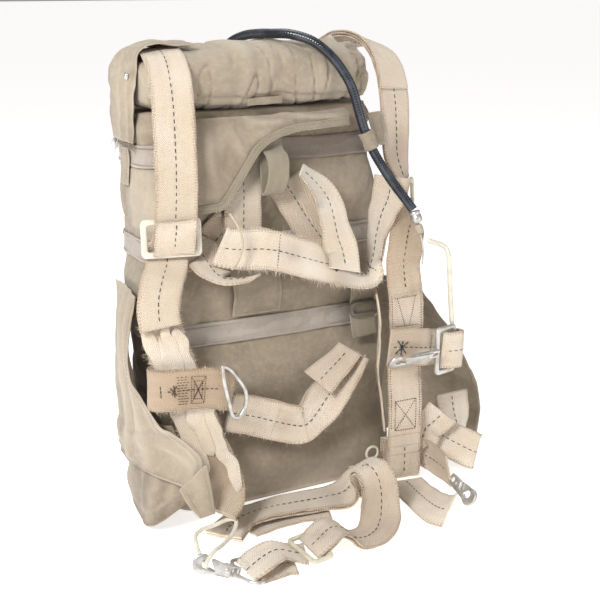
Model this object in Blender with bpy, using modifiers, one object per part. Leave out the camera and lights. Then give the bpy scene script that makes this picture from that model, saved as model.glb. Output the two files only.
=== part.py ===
"""Packed parachute, back type: a stuffed canvas pack with its webbing harness, standing on its base.

World frame in metres: X runs across the pack, -Y is the harness side, +Z is up, and the origin is
the middle of the pack's flat base. The tables below are in millimetres and degrees.
"""
import math

import bmesh
import bpy
from mathutils import Matrix, Vector

MM = 0.001

# Driving dimensions, in millimetres.
PACK_WIDTH = 292.0
PACK_BODY_HEIGHT = 446.0
WEBBING_WIDTH = 45.0
WEBBING_THICKNESS = 2.6
WEB_STEP = 11.0
CANVAS_THICKNESS = 1.6
TAPE_THICKNESS = 1.4
BAND_WIDTH = 25.0
HOUSING_DIAMETER = 11.0
HANDLE_DIAMETER = 6.0
CABLE_DIAMETER = 2.4
GAP = 0.6
OUTLINE_POINTS = 40
OUTLINE_SPACING = 30.0
ROLL_POINTS = 28
CORNER_POWER = 5.5
EDGE_WEB_WIDTH = 22.0
BAIL_DIAMETER = 4.0
STUD_PLACE = (-152.2, 6.0, 486.0)
STUD_DIAMETER = 8.0
STUD_HEIGHT = 2.4
LEG_BAIL = (
    (-126, -205, 7.0),
    (-125.5, -231, 7.0),
    (-125, -257, 7.0),
    (-134.5, -256, 7.5),
    (-142.5, -243, 8.5),
    (-145.5, -234, 9.4),
    (-140.5, -225.5, 7.6),
    (-138.5, -215, 7.5),
    (-135.5, -206, 7.3),
)

# Heights of the middle of each tape round the pack.
BAND_HEIGHTS = (203.0, 296.0, 400.0)

# Pack body, from the base up: height, half width beyond half the pack width, front y, back y.
PACK_ROWS = (
    (0.0, -10.0, -77.0, 66.0),
    (8.0, -3.0, -85.0, 73.0),
    (48.0, 3.0, -93.0, 81.0),
    (87.0, 0.0, -79.0, 76.0),
    (97.0, 0.0, -77.0, 76.0),
    (145.0, 3.0, -78.0, 82.0),
    (190.0, 0.0, -57.0, 76.0),
    (216.0, 0.0, -52.0, 76.0),
    (250.0, 3.0, -58.0, 82.0),
    (283.0, 0.0, -42.0, 76.0),
    (309.0, 0.0, -38.0, 76.0),
    (348.0, 3.0, -44.0, 82.0),
    (387.0, 0.0, -25.0, 76.0),
    (413.0, 0.0, -22.0, 76.0),
    (430.0, 1.0, -26.0, 77.0),
    (PACK_BODY_HEIGHT, -3.0, -20.0, 73.0),
)

# Head roll, from its left end to its right end: x, middle y, middle z, half depth, half height.
ROLL_ROWS = (
    (-142.0, 22.0, 477.0, 36.0, 18.0),
    (-137.0, 22.0, 477.5, 50.0, 24.0),
    (-120.0, 22.0, 478.0, 58.0, 27.0),
    (-100.0, 21.5, 479.5, 60.0, 30.5),
    (-80.0, 21.0, 481.0, 61.0, 33.0),
    (-60.0, 20.0, 482.0, 61.0, 34.5),
    (0.0, 20.0, 482.5, 62.0, 35.0),
    (60.0, 21.0, 483.0, 61.0, 35.5),
    (110.0, 23.0, 483.0, 58.0, 34.5),
    (130.0, 24.0, 482.0, 50.0, 29.0),
    (136.0, 24.0, 481.0, 36.0, 21.0),
)
ROLL_POWER = 2.7

# Straps: x, y, z of the middle of the web, then yaw and pitch of its width.
WEBS = {
    "riser_left": (
        (-106, 93, 455, 0, 0),
        (-106, 91, 478, 0, 0),
        (-106, 82, 497, 0, 2),
        (-108, 60, 509, -2, 6),
        (-111, 30, 512, -5, 6),
        (-115, 2, 511, -8, 6),
        (-118, -20, 505, -10, 4),
        (-121, -38, 491, -13, 2),
        (-123, -50, 470, -14, 0),
        (-124, -56, 448, -14, 0),
        (-125, -60, 415, -14, 0),
        (-127, -65, 380, -14, 0),
        (-131, -71, 350, -14, 0),
        (-133, -72, 334, -14, 0),
        (-135, -68, 318, -14, 0),
        (-137, -60, 303, -14, 0),
        (-142, -67, 291, -14, 0),
        (-152, -79, 279, -16, 0),
        (-160, -87, 262, -18, 0),
        (-162, -91, 245, -18, 0),
        (-161, -94, 232, -18, 0),
    ),
    "lift_left": (
        (-148, -70, 277, -14, 0),
        (-155, -78, 262, -16, 0),
        (-158, -82, 245, -18, 0),
        (-157, -85, 225, -20, 0),
        (-152, -90, 205, -22, 0),
        (-147, -96, 185, -24, 0),
        (-141, -102, 162, -24, 0),
        (-132, -107, 138, -22, 0),
        (-124, -112, 105, -20, 0),
        (-114, -120, 78, -18, 0),
        (-110, -132, 60, -16, 0),
        (-116, -145, 47, -16, 0),
        (-128, -154, 41, -18, 0),
    ),
    "chest_wrap_left": (
        (-112, -93, 158, 0, 88),
        (-140, -83, 162, 0, 88),
        (-163, -78, 164, 0, 88),
        (-174, -84, 165, 0, 88),
        (-176, -96, 166, 0, 88),
        (-167, -109, 167, 0, 88),
        (-143, -118, 168, 0, 88),
        (-118, -122, 166, 0, 86),
        (-104, -124, 163, 0, 84),
        (-93, -124, 160, 0, 82),
    ),
    "riser_right": (
        (136, 95, 466, 0, 0),
        (137, 93, 486, 0, 0),
        (140, 81, 505, 0, 0),
        (146, 58, 514, 2, -14),
        (153, 36, 516, 4, -20),
        (160, 16, 511, 6, -20),
        (165, -2, 500, 8, -14),
        (168, -17, 481, 10, -6),
        (168, -27, 452, 10, 0),
        (166, -35, 418, 12, 0),
        (164, -41, 386, 20, 0),
        (167, -47, 366, 34, 0),
        (171, -50, 354, 44, 0),
    ),
    "main_right": (
        (163, -80, 318, 24, 0),
        (153, -88, 308, 10, 0),
        (145, -96, 297, 2, 0),
        (138, -103, 284, -2, 0),
        (134, -106, 268, -4, 0),
        (136, -110, 233, -4, 0),
        (137, -112, 194, -4, 0),
        (134, -114, 144, -4, 0),
        (136, -115, 102, -4, 0),
        (135, -117, 58, -4, 0),
        (134, -119, 26, -4, 0),
        (134, -117, 8, -4, 0),
        (135, -109, 3, -4, 0),
        (136, -101, 9, -4, 0),
        (137, -98, 26, -4, 0),
        (138, -97, 52, -4, 0),
    ),
    "edge_web": (
        (108, -90, 236, 61, 0),
        (112, -93, 194, 61, 0),
        (107, -98, 140, 61, 0),
        (114, -98, 100, 61, 0),
        (118, -98, 66, 61, 0),
    ),
    "back_vertical": (
        (-36, -32, 412, 0, 0),
        (-38, -37, 392, 0, 0),
        (-41, -48, 362, 0, 0),
        (-45, -55, 330, 0, 0),
        (-48, -62, 304, 0, 0),
        (-48, -66, 290, 0, 0),
    ),
    "back_cross": (
        (-84, -79, 309, 60, 92),
        (-76, -81, 306, 60, 86),
        (-60, -88, 304.5, 60, 78),
        (-42, -92, 304, 60, 72),
        (-20, -93, 299, 58, 66),
        (8, -94, 289, 55, 60),
        (33, -95, 280, 54, 54),
        (60, -95, 271, 54, 46),
        (82, -91, 260, 56, 14),
        (98, -87, 257, 64, 8),
        (109, -79, 267, 75, -3),
        (115, -76, 284, 80, -8),
        (120, -72, 301, 88, -8),
        (128, -70, 324, 106, -7),
        (135, -69, 336, 118, -5),
        (140, -67, 350, 124, -4),
        (144, -65, 364, 128, -2),
    ),
    "back_diagonal_rear": (
        (8, -52, 368, 0, 32),
        (20, -57, 346, 0, 38),
        (33, -62, 323, 0, 38),
        (48, -68, 301, 0, 40),
        (62, -74, 286, 0, 40),
    ),
    "back_diagonal_front": (
        (19, -72, 383, 50, 0),
        (30, -77, 371, 40, 0),
        (45, -80, 353, 24, 0),
        (51, -83, 336, 18, 0),
        (54, -87, 316, 16, 0),
        (57, -88, 303, 8, -2),
        (61, -90, 291, 4, -10),
        (61, -95, 280, 2, -19),
        (59, -101, 270, 2, -19),
    ),
    "left_loop": (
        (-77, -46, 306, 0, 135),
        (-71, -47, 313, 0, 135),
        (-66, -48, 318, 0, 135),
        (-57, -49, 326, 0, 135),
    ),
    "free_strap": (
        (-115, -53, 301, 10, 44),
        (-99, -60, 298, 30, 36),
        (-95, -80, 284, 46, 16),
        (-91, -92, 278, 53, 3),
        (-83, -96, 275, 64, -5),
        (-66, -97, 274, 62, -8),
        (-55, -96, 276, 64, -8),
    ),
    "waist_front": (
        (-90, -106, 128, 180, 100),
        (-64, -107, 120, 180, 102),
        (-43, -110, 112, 180, 104),
        (-19, -113, 103, 180, 102),
        (0, -115, 99, 180, 92),
        (15, -114, 110, 160, 66),
        (30, -112, 125, 130, 40),
        (47, -110, 141, 108, 16),
        (61, -109, 154, 96, 4),
        (72, -107, 169, 92, 0),
    ),
    "waist_rear": (
        (23, -104, 142, 112, 20),
        (38, -104, 154, 104, 12),
        (52, -104, 165, 98, 6),
        (65, -104, 177, 94, 2),
    ),
    "chest_web_right": (
        (108, -121, 177, 0, 88),
        (135, -122, 173, 0, 88),
        (158, -120, 168, 0, 88),
        (172, -117, 166, 0, 88),
        (186, -115, 163, 0, 88),
        (199, -115, 161, 0, 88),
        (207, -118, 161, 0, 88),
        (209, -124, 161, 0, 88),
        (206, -129.5, 161, 0, 88),
        (198, -131.5, 162, 0, 88),
        (188, -130, 162, 0, 88),
        (178, -127, 163, 0, 88),
    ),
    "leg_strap_right": (
        (229, -80, 86, -10, -16),
        (230, -84, 66, -8, -16),
        (232, -90, 46, -5, -30),
        (235, -102, 33, 0, -62),
        (234, -120, 27, 0, -88),
        (229, -136, 26, 0, -104),
        (219, -132, 31, 0, -114),
        (207, -119, 38, 0, -118),
        (196, -108, 45, 0, -120),
        (184, -101, 54, 0, -120),
    ),
    "leg_fold_right": (
        (188, -120, 80, -25, -30),
        (180, -114, 69, -25, -30),
        (172, -109, 60, -25, -30),
        (166, -110, 49, -20, -34),
        (161, -110, 36, -15, -46),
        (163, -112, 30, -10, -66),
        (167, -123, 29, -8, -80),
        (167, -138, 29, -4, -82),
        (165, -155, 29, 0, -80),
        (163, -170, 28, 0, -76),
    ),
    "leg_tail_right": (
        (134, -122, 3, 8, 0),
        (131, -138, 4, 12, 0),
        (127, -156, 5, 16, 3),
        (122, -182, 7, 20, 8),
        (118, -205, 10, 24, 16),
        (117, -222, 13, 26, 26),
        (119, -234, 17, 28, 38),
    ),
    "saddle_strap": (
        (87, -104, 28, 0, 0),
        (86, -106, 17, -6, 0),
        (82, -112, 7, -30, 0),
        (74, -119, 2.4, -55, 0),
        (62, -126, 2.2, -62, 0),
    ),
    "leg_front_left": (
        (-76, -232, 2, 95, 0),
        (-92, -228, 2, 95, 0),
        (-110, -229, 2, 94, 0),
        (-124, -231, 2.6, 92, 0),
        (-131, -231, 7, 91, 0),
        (-124, -231, 11.4, 92, 0),
        (-110, -226, 14.5, 94, 0),
        (-92, -222, 16, 92, 0),
        (-78, -226, 12, 88, 0),
        (-68, -231, 9.6, 88, 0),
        (-63, -233, 9.4, 88, 0),
    ),
    "leg_strap_left": (
        (-61, -236, 15.5, 90, 0),
        (-56, -236, 20, 90, 0),
        (-48, -234, 23.4, 92, 0),
        (-38, -229, 26, 94, 0),
        (-26, -224, 26.5, 92, 0),
        (-12, -222, 20, 88, 0),
        (0, -224, 8, 86, 0),
        (16, -222, 3, 96, 0),
        (34, -214, 3, 118, 0),
        (48, -202, 8, 146, 0),
        (54, -194, 20, 168, 0),
        (56, -189, 36, 178, 0),
        (55, -184, 50, 182, 0),
        (52, -175, 59, 186, 0),
        (49, -165, 58, 198, -4),
        (48, -155, 45, 226, -12),
        (44, -147, 28, 254, -18),
        (36, -140, 17, 260, -12),
        (20, -134, 13, 256, -6),
        (-2, -130, 12, 250, -4),
        (-28, -127, 12, 248, 0),
        (-57, -127, 13, 248, 3),
        (-87, -130, 12, 256, 3),
        (-104, -138, 9, 282, 2),
        (-120, -150, 7, 300, 0),
    ),
    "leg_under_left": (
        (-90, -141, 3, 72, 0),
        (-70, -138, 3, 78, 0),
        (-40, -135, 3, 86, 0),
        (-10, -139, 3, 94, 0),
        (14, -147, 3, 104, 0),
    ),
}

# Keeper tape folded into a loop, in the same columns.
KEEPER_ROWS = (
    (-5, -38, 428, 0, 0),
    (-6, -41, 412, 0, 0),
    (-9, -50, 396, 0, 0),
    (-11, -57, 377, 0, 0),
    (-13, -61, 363, 0, 0),
    (-14, -66, 357.5, 0, 0),
    (-13, -71, 363, 0, 0),
    (-11, -74, 375, 0, 0),
    (-9, -72, 391, 0, 0),
    (-8, -65, 400, 0, 0),
    (-7, -56, 403, 0, 0),
    (-6, -49, 408, 0, 0),
    (-5, -46, 419, 0, 0),
)
KEEPER_TAPE_WIDTH = 26.0
KEEPER_STEP = 5.0

# Short strap that hangs from the front of the pack through its own slide, in the same columns.
RETAINER_ROWS = (
    (105, -67, 247, 0, 0),
    (104, -68, 238, 0, 0),
    (101, -70, 221, 0, 0),
    (101, -73, 200, 0, 0),
    (103, -75, 178, 0, 0),
)
RETAINER_WIDTH = 33.0

# Webs that fold tightly are divided more finely.
FINE_STEPS = {
    "leg_front_left": 4.0,
    "leg_strap_left": 8.0,
    "chest_web_right": 5.0,
    "left_loop": 5.0,
    "main_right": 8.0,
}

# Tape bound over the cut edge of the upper flap, in the same columns.
BINDING_ROWS = (
    (-106, -62.5, 347, 90, 60),
    (-88, -62.5, 347, 90, 80),
    (-74, -62.5, 349, 0, 110),
    (-62, -61.5, 362, 0, 140),
    (-50, -60.5, 378, 0, 142),
    (-38, -58.5, 394, 0, 140),
    (-25, -57.5, 409, 0, 128),
    (-8, -56.5, 419, 0, 108),
    (14, -54.2, 425, 0, 94),
    (48, -52.2, 428, 0, 90),
    (94, -50.5, 430, 0, 90),
)
BINDING_WIDTH = 8.0

# Canvas panels: each row runs along the panel, row after row from its top to its hem.
PANELS = {
    "upper_flap": (
        ((-106, -33, 441), (-72, -33, 441), (-40, -33, 441), (-8, -33, 441), (40, -33, 441), (96, -33, 442)),
        ((-107, -48, 412), (-72, -50, 412), (-42, -46, 424), (-12, -43, 434), (40, -42, 437), (96, -41, 438)),
        ((-106, -55, 380), (-72, -56, 382), (-44, -54, 404), (-16, -51, 426), (40, -47, 432), (95, -46, 434)),
        ((-106, -59, 345), (-74, -60, 346), (-40, -56, 390), (-10, -54, 417), (42, -49, 426), (94, -48, 428)),
    ),
    "end_flap_left": (
        ((-78, -10, 519), (-78, 26, 520), (-78, 60, 514)),
        ((-104, -9, 519), (-104, 28, 520), (-104, 62, 513)),
        ((-127, -7, 518), (-127, 30, 518.5), (-127, 62, 512)),
        ((-143, -5, 507), (-144, 30, 508), (-143, 62, 502)),
        ((-149, -6, 486), (-150, 30, 486), (-149, 64, 484)),
        ((-151, -6, 464), (-152, 30, 464), (-151, 66, 464)),
        ((-151, -4, 441), (-152, 30, 438), (-151, 66, 440)),
        ((-151, -4, 414), (-152, 28, 414), (-151, 62, 414)),
    ),
    "side_keeper": (
        ((-152, 12, 408), (-152, 38, 408)),
        ((-151, 12, 398), (-151, 38, 398)),
        ((-152, 12, 384), (-152, 38, 384)),
        ((-153, 12, 366), (-153, 38, 366)),
    ),
    "wing_left": (
        ((-154, 58, 250), (-158, 20, 253), (-161, -8, 252), (-164, -28, 249)),
        ((-154, 62, 205), (-167, 32, 208), (-174, -8, 208), (-178, -42, 204)),
        ((-154, 64, 155), (-170, 30, 156), (-176, -26, 156), (-184, -70, 162)),
        ((-154, 66, 105), (-169, 26, 108), (-175, -42, 108), (-175, -107, 133)),
        ((-155, 67, 80), (-172, 22, 84), (-180, -50, 92), (-159, -127, 122)),
        ((-155, 68, 64), (-173, 18, 68), (-182, -64, 79), (-138, -143, 93)),
        ((-155, 68, 56), (-174, 16, 58), (-183, -70, 68), (-152, -137, 62)),
    ),
    "pouch_left": (
        ((-153, 40, 116), (-160, 0, 116), (-164, -44, 116), (-160, -78, 118), (-152, -92, 120)),
        ((-153, 42, 72), (-163, 0, 72), (-169, -54, 70), (-160, -96, 76), (-147, -111, 84)),
        ((-154, 42, 32), (-168, 0, 32), (-179, -60, 30), (-174, -100, 40), (-148, -117, 60)),
        ((-155, 40, 3), (-167, 0, 3), (-179, -62, 3), (-179, -98, 9), (-149, -117, 37)),
    ),
    "wing_strap_left": (
        ((-166, -142, 68), (-151, -146, 82), (-137, -150, 95)),
        ((-160, -152, 52), (-147, -156, 60), (-135, -158, 66)),
        ((-150, -159, 38), (-142, -161, 40), (-134, -162, 42)),
    ),
    "wing_right": (
        ((153, 12, 238), (166, -6, 234), (181, -30, 229), (195, -54, 222)),
        ((153, 16, 182), (190, 12, 174), (219, -18, 169), (240, -58, 163)),
        ((153, 18, 122), (200, 22, 119), (241, -8, 117), (268, -60, 116)),
        ((153, 20, 60), (205, 28, 60), (256, 0, 58), (292, -60, 56)),
        ((154, 20, 2), (205, 30, 2), (258, 2, 2), (290, -58, 6)),
    ),
    "sleeve_tab": (
        ((120, -46, 432), (129, -44, 433), (137, -42, 434)),
        ((124, -50, 416), (132, -46, 416), (138, -44, 417)),
        ((128, -54, 401), (134, -50, 400), (139, -47, 400)),
    ),
}

# Flat pocket on the pack's front, held off the canvas by the lift.
POCKET_LIFT = 3.4
POCKET_LEFT = -61.0
POCKET_RIGHT = -1.0
POCKET_HEIGHTS = (277.0, 262.0, 246.0, 232.0, 220.0)

# Ripcord housing, from the pack's head to its ferrule.
HOUSING_ROUTE = (
    (-10, 97, 470),
    (-6, 95, 492),
    (4, 80, 512),
    (13, 60, 521.5),
    (19, 34, 525),
    (25, 8, 526),
    (36, -14, 526),
    (54, -32, 519),
    (70, -45, 504),
    (83, -53, 485),
    (92, -58, 466),
    (99, -61, 441),
    (107, -63, 417),
    (116, -68, 394),
    (128, -82, 367),
    (140, -95, 345),
    (148, -103, 331),
)
FERRULE_PLACE = (150.4, -105.4, 322.8)
FERRULE_AIM = (0.25, -0.25, -0.93)
FERRULE_DIAMETER = 13.0
FERRULE_LENGTH = 14.0
HANDLE_ROUTE = (
    (161, -115, 299),
    (164, -116, 295),
    (178, -116, 290),
    (187, -116, 284),
    (191, -116, 274),
    (193, -116, 255),
    (196, -116, 222),
    (199, -116, 196),
    (200, -116, 188),
)
CABLE_ROUTE = (
    (154.5, -110.6, 302.8),
    (154, -115, 293),
    (153, -118, 282),
    (152, -119, 270),
)
SLEEVE_START = (106.6, -62.9, 418)
SLEEVE_END = (114, -66.8, 399)
SLEEVE_DIAMETER = 15.5

LEG_LINK = (
    (-150, -162, 27),
    (-134, -161, 28),
    (-118, -160, 30),
    (-112, -167, 30),
    (-124, -185, 27),
    (-144, -204, 28),
    (-159, -217, 31),
    (-169, -225, 29.5),
    (-174.5, -228.5, 25),
    (-173.2, -226, 21.2),
    (-169.7, -217, 18.5),
    (-166.4, -207.5, 16),
    (-165.5, -194, 16),
    (-164, -182, 20),
    (-160, -169, 25),
)
LINK_DIAMETER = 4.4
CHEST_RING = (
    (-108, -131, 192),
    (-100, -131, 188),
    (-89, -130, 174),
    (-81, -130, 159),
    (-81, -130, 144),
    (-89, -131, 132),
    (-97, -131, 134),
    (-101, -131, 150),
    (-106, -131, 172),
)
RING_DIAMETER = 4.4
SADDLE_RING_PLACE = (98, -104, 40)
SADDLE_RING_RADIUS = 8.0
SADDLE_RING_WIRE = 3.0

# Snap hooks, measured along the hook from its eye; the reach of each one is to the middle of its nose.
HOOK_THICKNESS = 3.4
HOOK_NOSE_RADIUS = 10.5
THROAT_RADIUS = 4.4
COVER_THICKNESS = 1.6
COVER_CLEARANCE = 0.5
PIVOT = (11.0, 0.0)

# Snap hooks: name, length to the middle of the nose, rear end, direction of the nose, open side.
SNAPS = (
    ("chest_snap", 56.0, (163, -137.5, 165), (-1.0, 0.0, -0.03), (0.0, -0.55, 0.83)),
    ("leg_snap_left", 37.0, (-140.5, -230.5, 8.0), (-0.90, 0.41, 0.30), (0.283, 0.154, 0.943)),
    ("leg_snap_right", 37.0, (161, -180, 24), (-0.05, -0.97, -0.22), (0.53, -0.29, 0.80)),
)

# Slides and adapters: name, width, height, rim, middle, direction of its width, direction of its height.
SLIDE_THICKNESS = 4.0
SLIDE_CORNER = 6.0
SLOT_CORNER = 2.5
SLIDES = (
    ("adjuster_left", 65.0, 42.0, 7.0, (-134.9, -65.8, 321), (0.97, -0.24, 0.0), (0.02, 0.1, 1.0)),
    ("adjuster_right", 54.0, 34.0, 6.0, (172, -57, 340), (0.70, 0.71, 0.0), (0.0, 0.1, 1.0)),
    ("chest_adapter", 59.0, 34.0, 6.0, (184, -125.5, 163), (0.0, 0.0, 1.0), (0.97, 0.2, 0.05)),
    ("leg_adapter_left", 58.0, 26.0, 5.0, (-59.5, -235, 16.4), (0.04, -1.0, 0.0), (1.0, 0.04, 0.1)),
    ("retainer_slide", 38.0, 18.0, 4.5, (101, -75.5, 213), (1.0, 0.0, 0.0), (0.0, 0.1, 1.0)),
)

# Distance between the points of a wire, in its own diameters.
WIRE_SPACING = 1.6
HOUSING_SPACING = 2.0


def clear_scene():
    for item in list(bpy.data.objects):
        bpy.data.objects.remove(item, do_unlink=True)


def new_collection(name):
    collection = bpy.data.collections.new(name)
    bpy.context.scene.collection.children.link(collection)
    return collection


def material(name, colour, roughness, metallic=0.0):
    finish = bpy.data.materials.new(name)
    finish.use_nodes = True
    shader = finish.node_tree.nodes["Principled BSDF"]
    shader.inputs["Base Color"].default_value = (*colour, 1.0)
    shader.inputs["Roughness"].default_value = roughness
    shader.inputs["Metallic"].default_value = metallic
    return finish


def add_object(name, data, finish):
    data.materials.clear()
    data.materials.append(finish)
    item = bpy.data.objects.new(name, data)
    parts.objects.link(item)
    return item


def mesh_object(name, bm, finish):
    """Turn an edited mesh into a named, smooth-shaded object."""
    mesh = bpy.data.meshes.new(name)
    bm.to_mesh(mesh)
    bm.free()
    mesh.shade_smooth()
    return add_object(name, mesh, finish)


def thicken(item, thickness):
    wall = item.modifiers.new("Thickness", "SOLIDIFY")
    wall.thickness = thickness * MM
    wall.offset = 0.0
    wall.use_even_offset = False
    return item


def blend_rows(rows, place):
    """Value of a table at a fractional row, on a Catmull-Rom curve through the rows."""
    last = len(rows) - 1
    index = min(int(place), last - 1)
    t = place - index
    p0 = rows[max(index - 1, 0)]
    p1 = rows[index]
    p2 = rows[index + 1]
    p3 = rows[min(index + 2, last)]
    return [
        0.5 * (2 * b + (c - a) * t + (2 * a - 5 * b + 4 * c - d) * t * t + (3 * b - a - 3 * c + d) * t ** 3)
        for a, b, c, d in zip(p0, p1, p2, p3)
    ]


def even_places(rows, step):
    """Fractional rows that lie about one step apart along the curve through the rows."""
    fine = 24
    places = [index / fine for index in range((len(rows) - 1) * fine + 1)]
    points = [Vector(blend_rows(rows, place)[:3]) for place in places]
    travelled = [0.0]
    for before, after in zip(points, points[1:]):
        travelled.append(travelled[-1] + (after - before).length)
    count = max(2, round(travelled[-1] / step))
    chosen = []
    index = 0
    for number in range(count + 1):
        goal = travelled[-1] * number / count
        while index < len(places) - 2 and travelled[index + 1] < goal:
            index += 1
        share = (goal - travelled[index]) / max(travelled[index + 1] - travelled[index], 1e-9)
        chosen.append(places[index] + (places[index + 1] - places[index]) * min(share, 1.0))
    return chosen


def across_direction(yaw, pitch):
    yaw = math.radians(yaw)
    pitch = math.radians(pitch)
    return Vector((math.cos(yaw) * math.cos(pitch), math.sin(yaw) * math.cos(pitch), math.sin(pitch)))


def strap(name, rows, width, thickness, finish, step):
    """A flat web along a smooth route. Each row is x, y, z, then yaw and pitch of its width."""
    places = even_places(rows, step)
    values = [blend_rows(rows, place) for place in places]
    middles = [Vector(value[:3]) for value in values]
    bm = bmesh.new()
    bmesh.ops.create_grid(bm, x_segments=len(values) - 1, y_segments=1, size=0.5)
    for vertex in bm.verts:
        index = round((vertex.co.x + 0.5) * (len(values) - 1))
        side = 1.0 if vertex.co.y > 0.0 else -1.0
        ahead = middles[min(index + 1, len(middles) - 1)] - middles[max(index - 1, 0)]
        ahead.normalize()
        across = across_direction(values[index][3], values[index][4])
        across -= ahead * across.dot(ahead)
        across.normalize()
        vertex.co = (middles[index] + across * side * width / 2) * MM
    return thicken(mesh_object(name, bm, finish), thickness)


def cloth(name, rows, thickness, finish, across_steps=2, along_steps=3):
    """A thin panel on a smooth surface through a short grid of points."""
    row_count = (len(rows) - 1) * along_steps
    column_count = (len(rows[0]) - 1) * across_steps
    bm = bmesh.new()
    bmesh.ops.create_grid(bm, x_segments=column_count, y_segments=row_count, size=0.5)
    for vertex in bm.verts:
        column = round((vertex.co.x + 0.5) * column_count) / across_steps
        row = round((vertex.co.y + 0.5) * row_count) / along_steps
        lines = [blend_rows(line, column) for line in rows]
        vertex.co = Vector(blend_rows(lines, row)) * MM
    return thicken(mesh_object(name, bm, finish), thickness)


def loft(name, rings, finish, closed=False):
    """Skin between rings that have the same number of points, capped at both ends or closed up."""
    bm = bmesh.new()
    loops = [[bm.verts.new(Vector(point) * MM) for point in ring] for ring in rings]
    pairs = list(zip(loops, loops[1:]))
    if closed:
        pairs.append((loops[-1], loops[0]))
    for lower, upper in pairs:
        for index in range(len(lower)):
            following = (index + 1) % len(lower)
            bm.faces.new((lower[index], lower[following], upper[following], upper[index]))
    if not closed:
        bm.faces.new(list(reversed(loops[0])))
        bm.faces.new(loops[-1])
    bmesh.ops.recalc_face_normals(bm, faces=bm.faces)
    return mesh_object(name, bm, finish)


def rod(name, points, diameter, finish, closed=False):
    """A round wire through the given points."""
    curve = bpy.data.curves.new(name, "CURVE")
    curve.dimensions = "3D"
    curve.bevel_depth = diameter / 2 * MM
    curve.bevel_resolution = 2
    curve.use_fill_caps = not closed
    spline = curve.splines.new("POLY")
    spline.points.add(len(points) - 1)
    for target, point in zip(spline.points, points):
        target.co = (*(Vector(point) * MM), 1.0)
    spline.use_cyclic_u = closed
    return add_object(name, curve, finish)


def wire(name, route, diameter, finish, closed=False, spacing=WIRE_SPACING):
    """A round wire on a smooth curve through a short table of points."""
    rows = list(route)
    if closed:
        rows.append(route[0])
    points = [blend_rows(rows, place) for place in even_places(rows, spacing * diameter)]
    if closed:
        points.pop()
    return rod(name, points, diameter, finish, closed)


def rounded_box(half_length, half_height, radius, steps=4):
    """Outline of a rectangle with round corners, counter-clockwise."""
    outline = []
    corners = ((1, 1, 0), (-1, 1, 90), (-1, -1, 180), (1, -1, 270))
    for side_x, side_y, start in corners:
        for number in range(steps + 1):
            angle = math.radians(start + 90.0 * number / steps)
            x = side_x * (half_length - radius) + radius * math.cos(angle)
            y = side_y * (half_height - radius) + radius * math.sin(angle)
            outline.append((x, y))
    return outline


def plate(name, outlines, thickness, finish):
    """A flat metal piece from a closed outline and its holes."""
    curve = bpy.data.curves.new(name, "CURVE")
    curve.dimensions = "2D"
    curve.fill_mode = "BOTH"
    curve.extrude = thickness / 2 * MM
    for outline in outlines:
        spline = curve.splines.new("POLY")
        spline.points.add(len(outline) - 1)
        for target, point in zip(spline.points, outline):
            target.co = (point[0] * MM, point[1] * MM, 0.0, 1.0)
        spline.use_cyclic_u = True
    return add_object(name, curve, finish)


def pack_outline(height, grow):
    """Level outline of the pack body at a height, pushed outwards by a small amount."""
    place = 0
    while place < len(PACK_ROWS) - 2 and PACK_ROWS[place + 1][0] <= height:
        place += 1
    low = PACK_ROWS[place]
    high = PACK_ROWS[place + 1]
    share = (height - low[0]) / (high[0] - low[0])
    swell, front, back = [a + (b - a) * share for a, b in zip(low[1:], high[1:])]
    half_width = PACK_WIDTH / 2 + swell
    middle = (front + back) / 2
    half_depth = (back - front) / 2 + grow
    outline = []
    for number in range(OUTLINE_POINTS):
        angle = 2 * math.pi * (number + 0.5) / OUTLINE_POINTS
        x = math.copysign(abs(math.cos(angle)) ** (2 / CORNER_POWER), math.cos(angle))
        y = math.copysign(abs(math.sin(angle)) ** (2 / CORNER_POWER), math.sin(angle))
        outline.append((x * (half_width + grow), middle + y * half_depth, height))
    return outline


def pack_face(height):
    """Front y of the pack body at a height."""
    return min(point[1] for point in pack_outline(height, 0.0))


def pack_tape(name, height, width, finish):
    """A tape sewn all the way round the pack."""
    low = height - width / 2
    high = height + width / 2
    outer = GAP + TAPE_THICKNESS
    corners = ((low, GAP), (high, GAP), (high, outer), (low, outer))
    rings = [pack_outline(level, grow) for level, grow in corners]
    return loft(name, rings, finish, closed=True)


def pack_body():
    heights = []
    for row in PACK_ROWS:
        heights.append(row[0])
    for below, above in zip(PACK_ROWS, PACK_ROWS[1:]):
        if above[0] - below[0] > OUTLINE_SPACING:
            heights.append((below[0] + above[0]) / 2)
    rings = [pack_outline(height, 0.0) for height in sorted(heights)]
    return loft("pack_body", rings, canvas)


def head_roll():
    rings = []
    for place in range(2 * (len(ROLL_ROWS) - 1) + 1):
        x, mid_y, mid_z, half_depth, half_height = blend_rows(ROLL_ROWS, place / 2)
        ring = []
        for number in range(ROLL_POINTS):
            angle = 2 * math.pi * number / ROLL_POINTS
            y = math.copysign(abs(math.cos(angle)) ** (2 / ROLL_POWER), math.cos(angle))
            z = math.copysign(abs(math.sin(angle)) ** (2 / ROLL_POWER), math.sin(angle))
            ring.append((x, mid_y + y * half_depth, mid_z + z * half_height))
        rings.append(ring)
    return loft("head_roll", rings, canvas)


def aimed(item, place, ahead, up):
    """Put an object at a place with its local X along one direction and its Y towards another."""
    x_axis = Vector(ahead).normalized()
    z_axis = x_axis.cross(Vector(up)).normalized()
    y_axis = z_axis.cross(x_axis)
    turn = Matrix((x_axis, y_axis, z_axis)).transposed().to_4x4()
    item.matrix_world = Matrix.Translation(Vector(place) * MM) @ turn
    return item


def arc(centre_x, centre_y, radius, start, end, steps):
    points = []
    for number in range(steps + 1):
        angle = math.radians(start + (end - start) * number / steps)
        points.append((centre_x + radius * math.cos(angle), centre_y + radius * math.sin(angle)))
    return points


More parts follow.
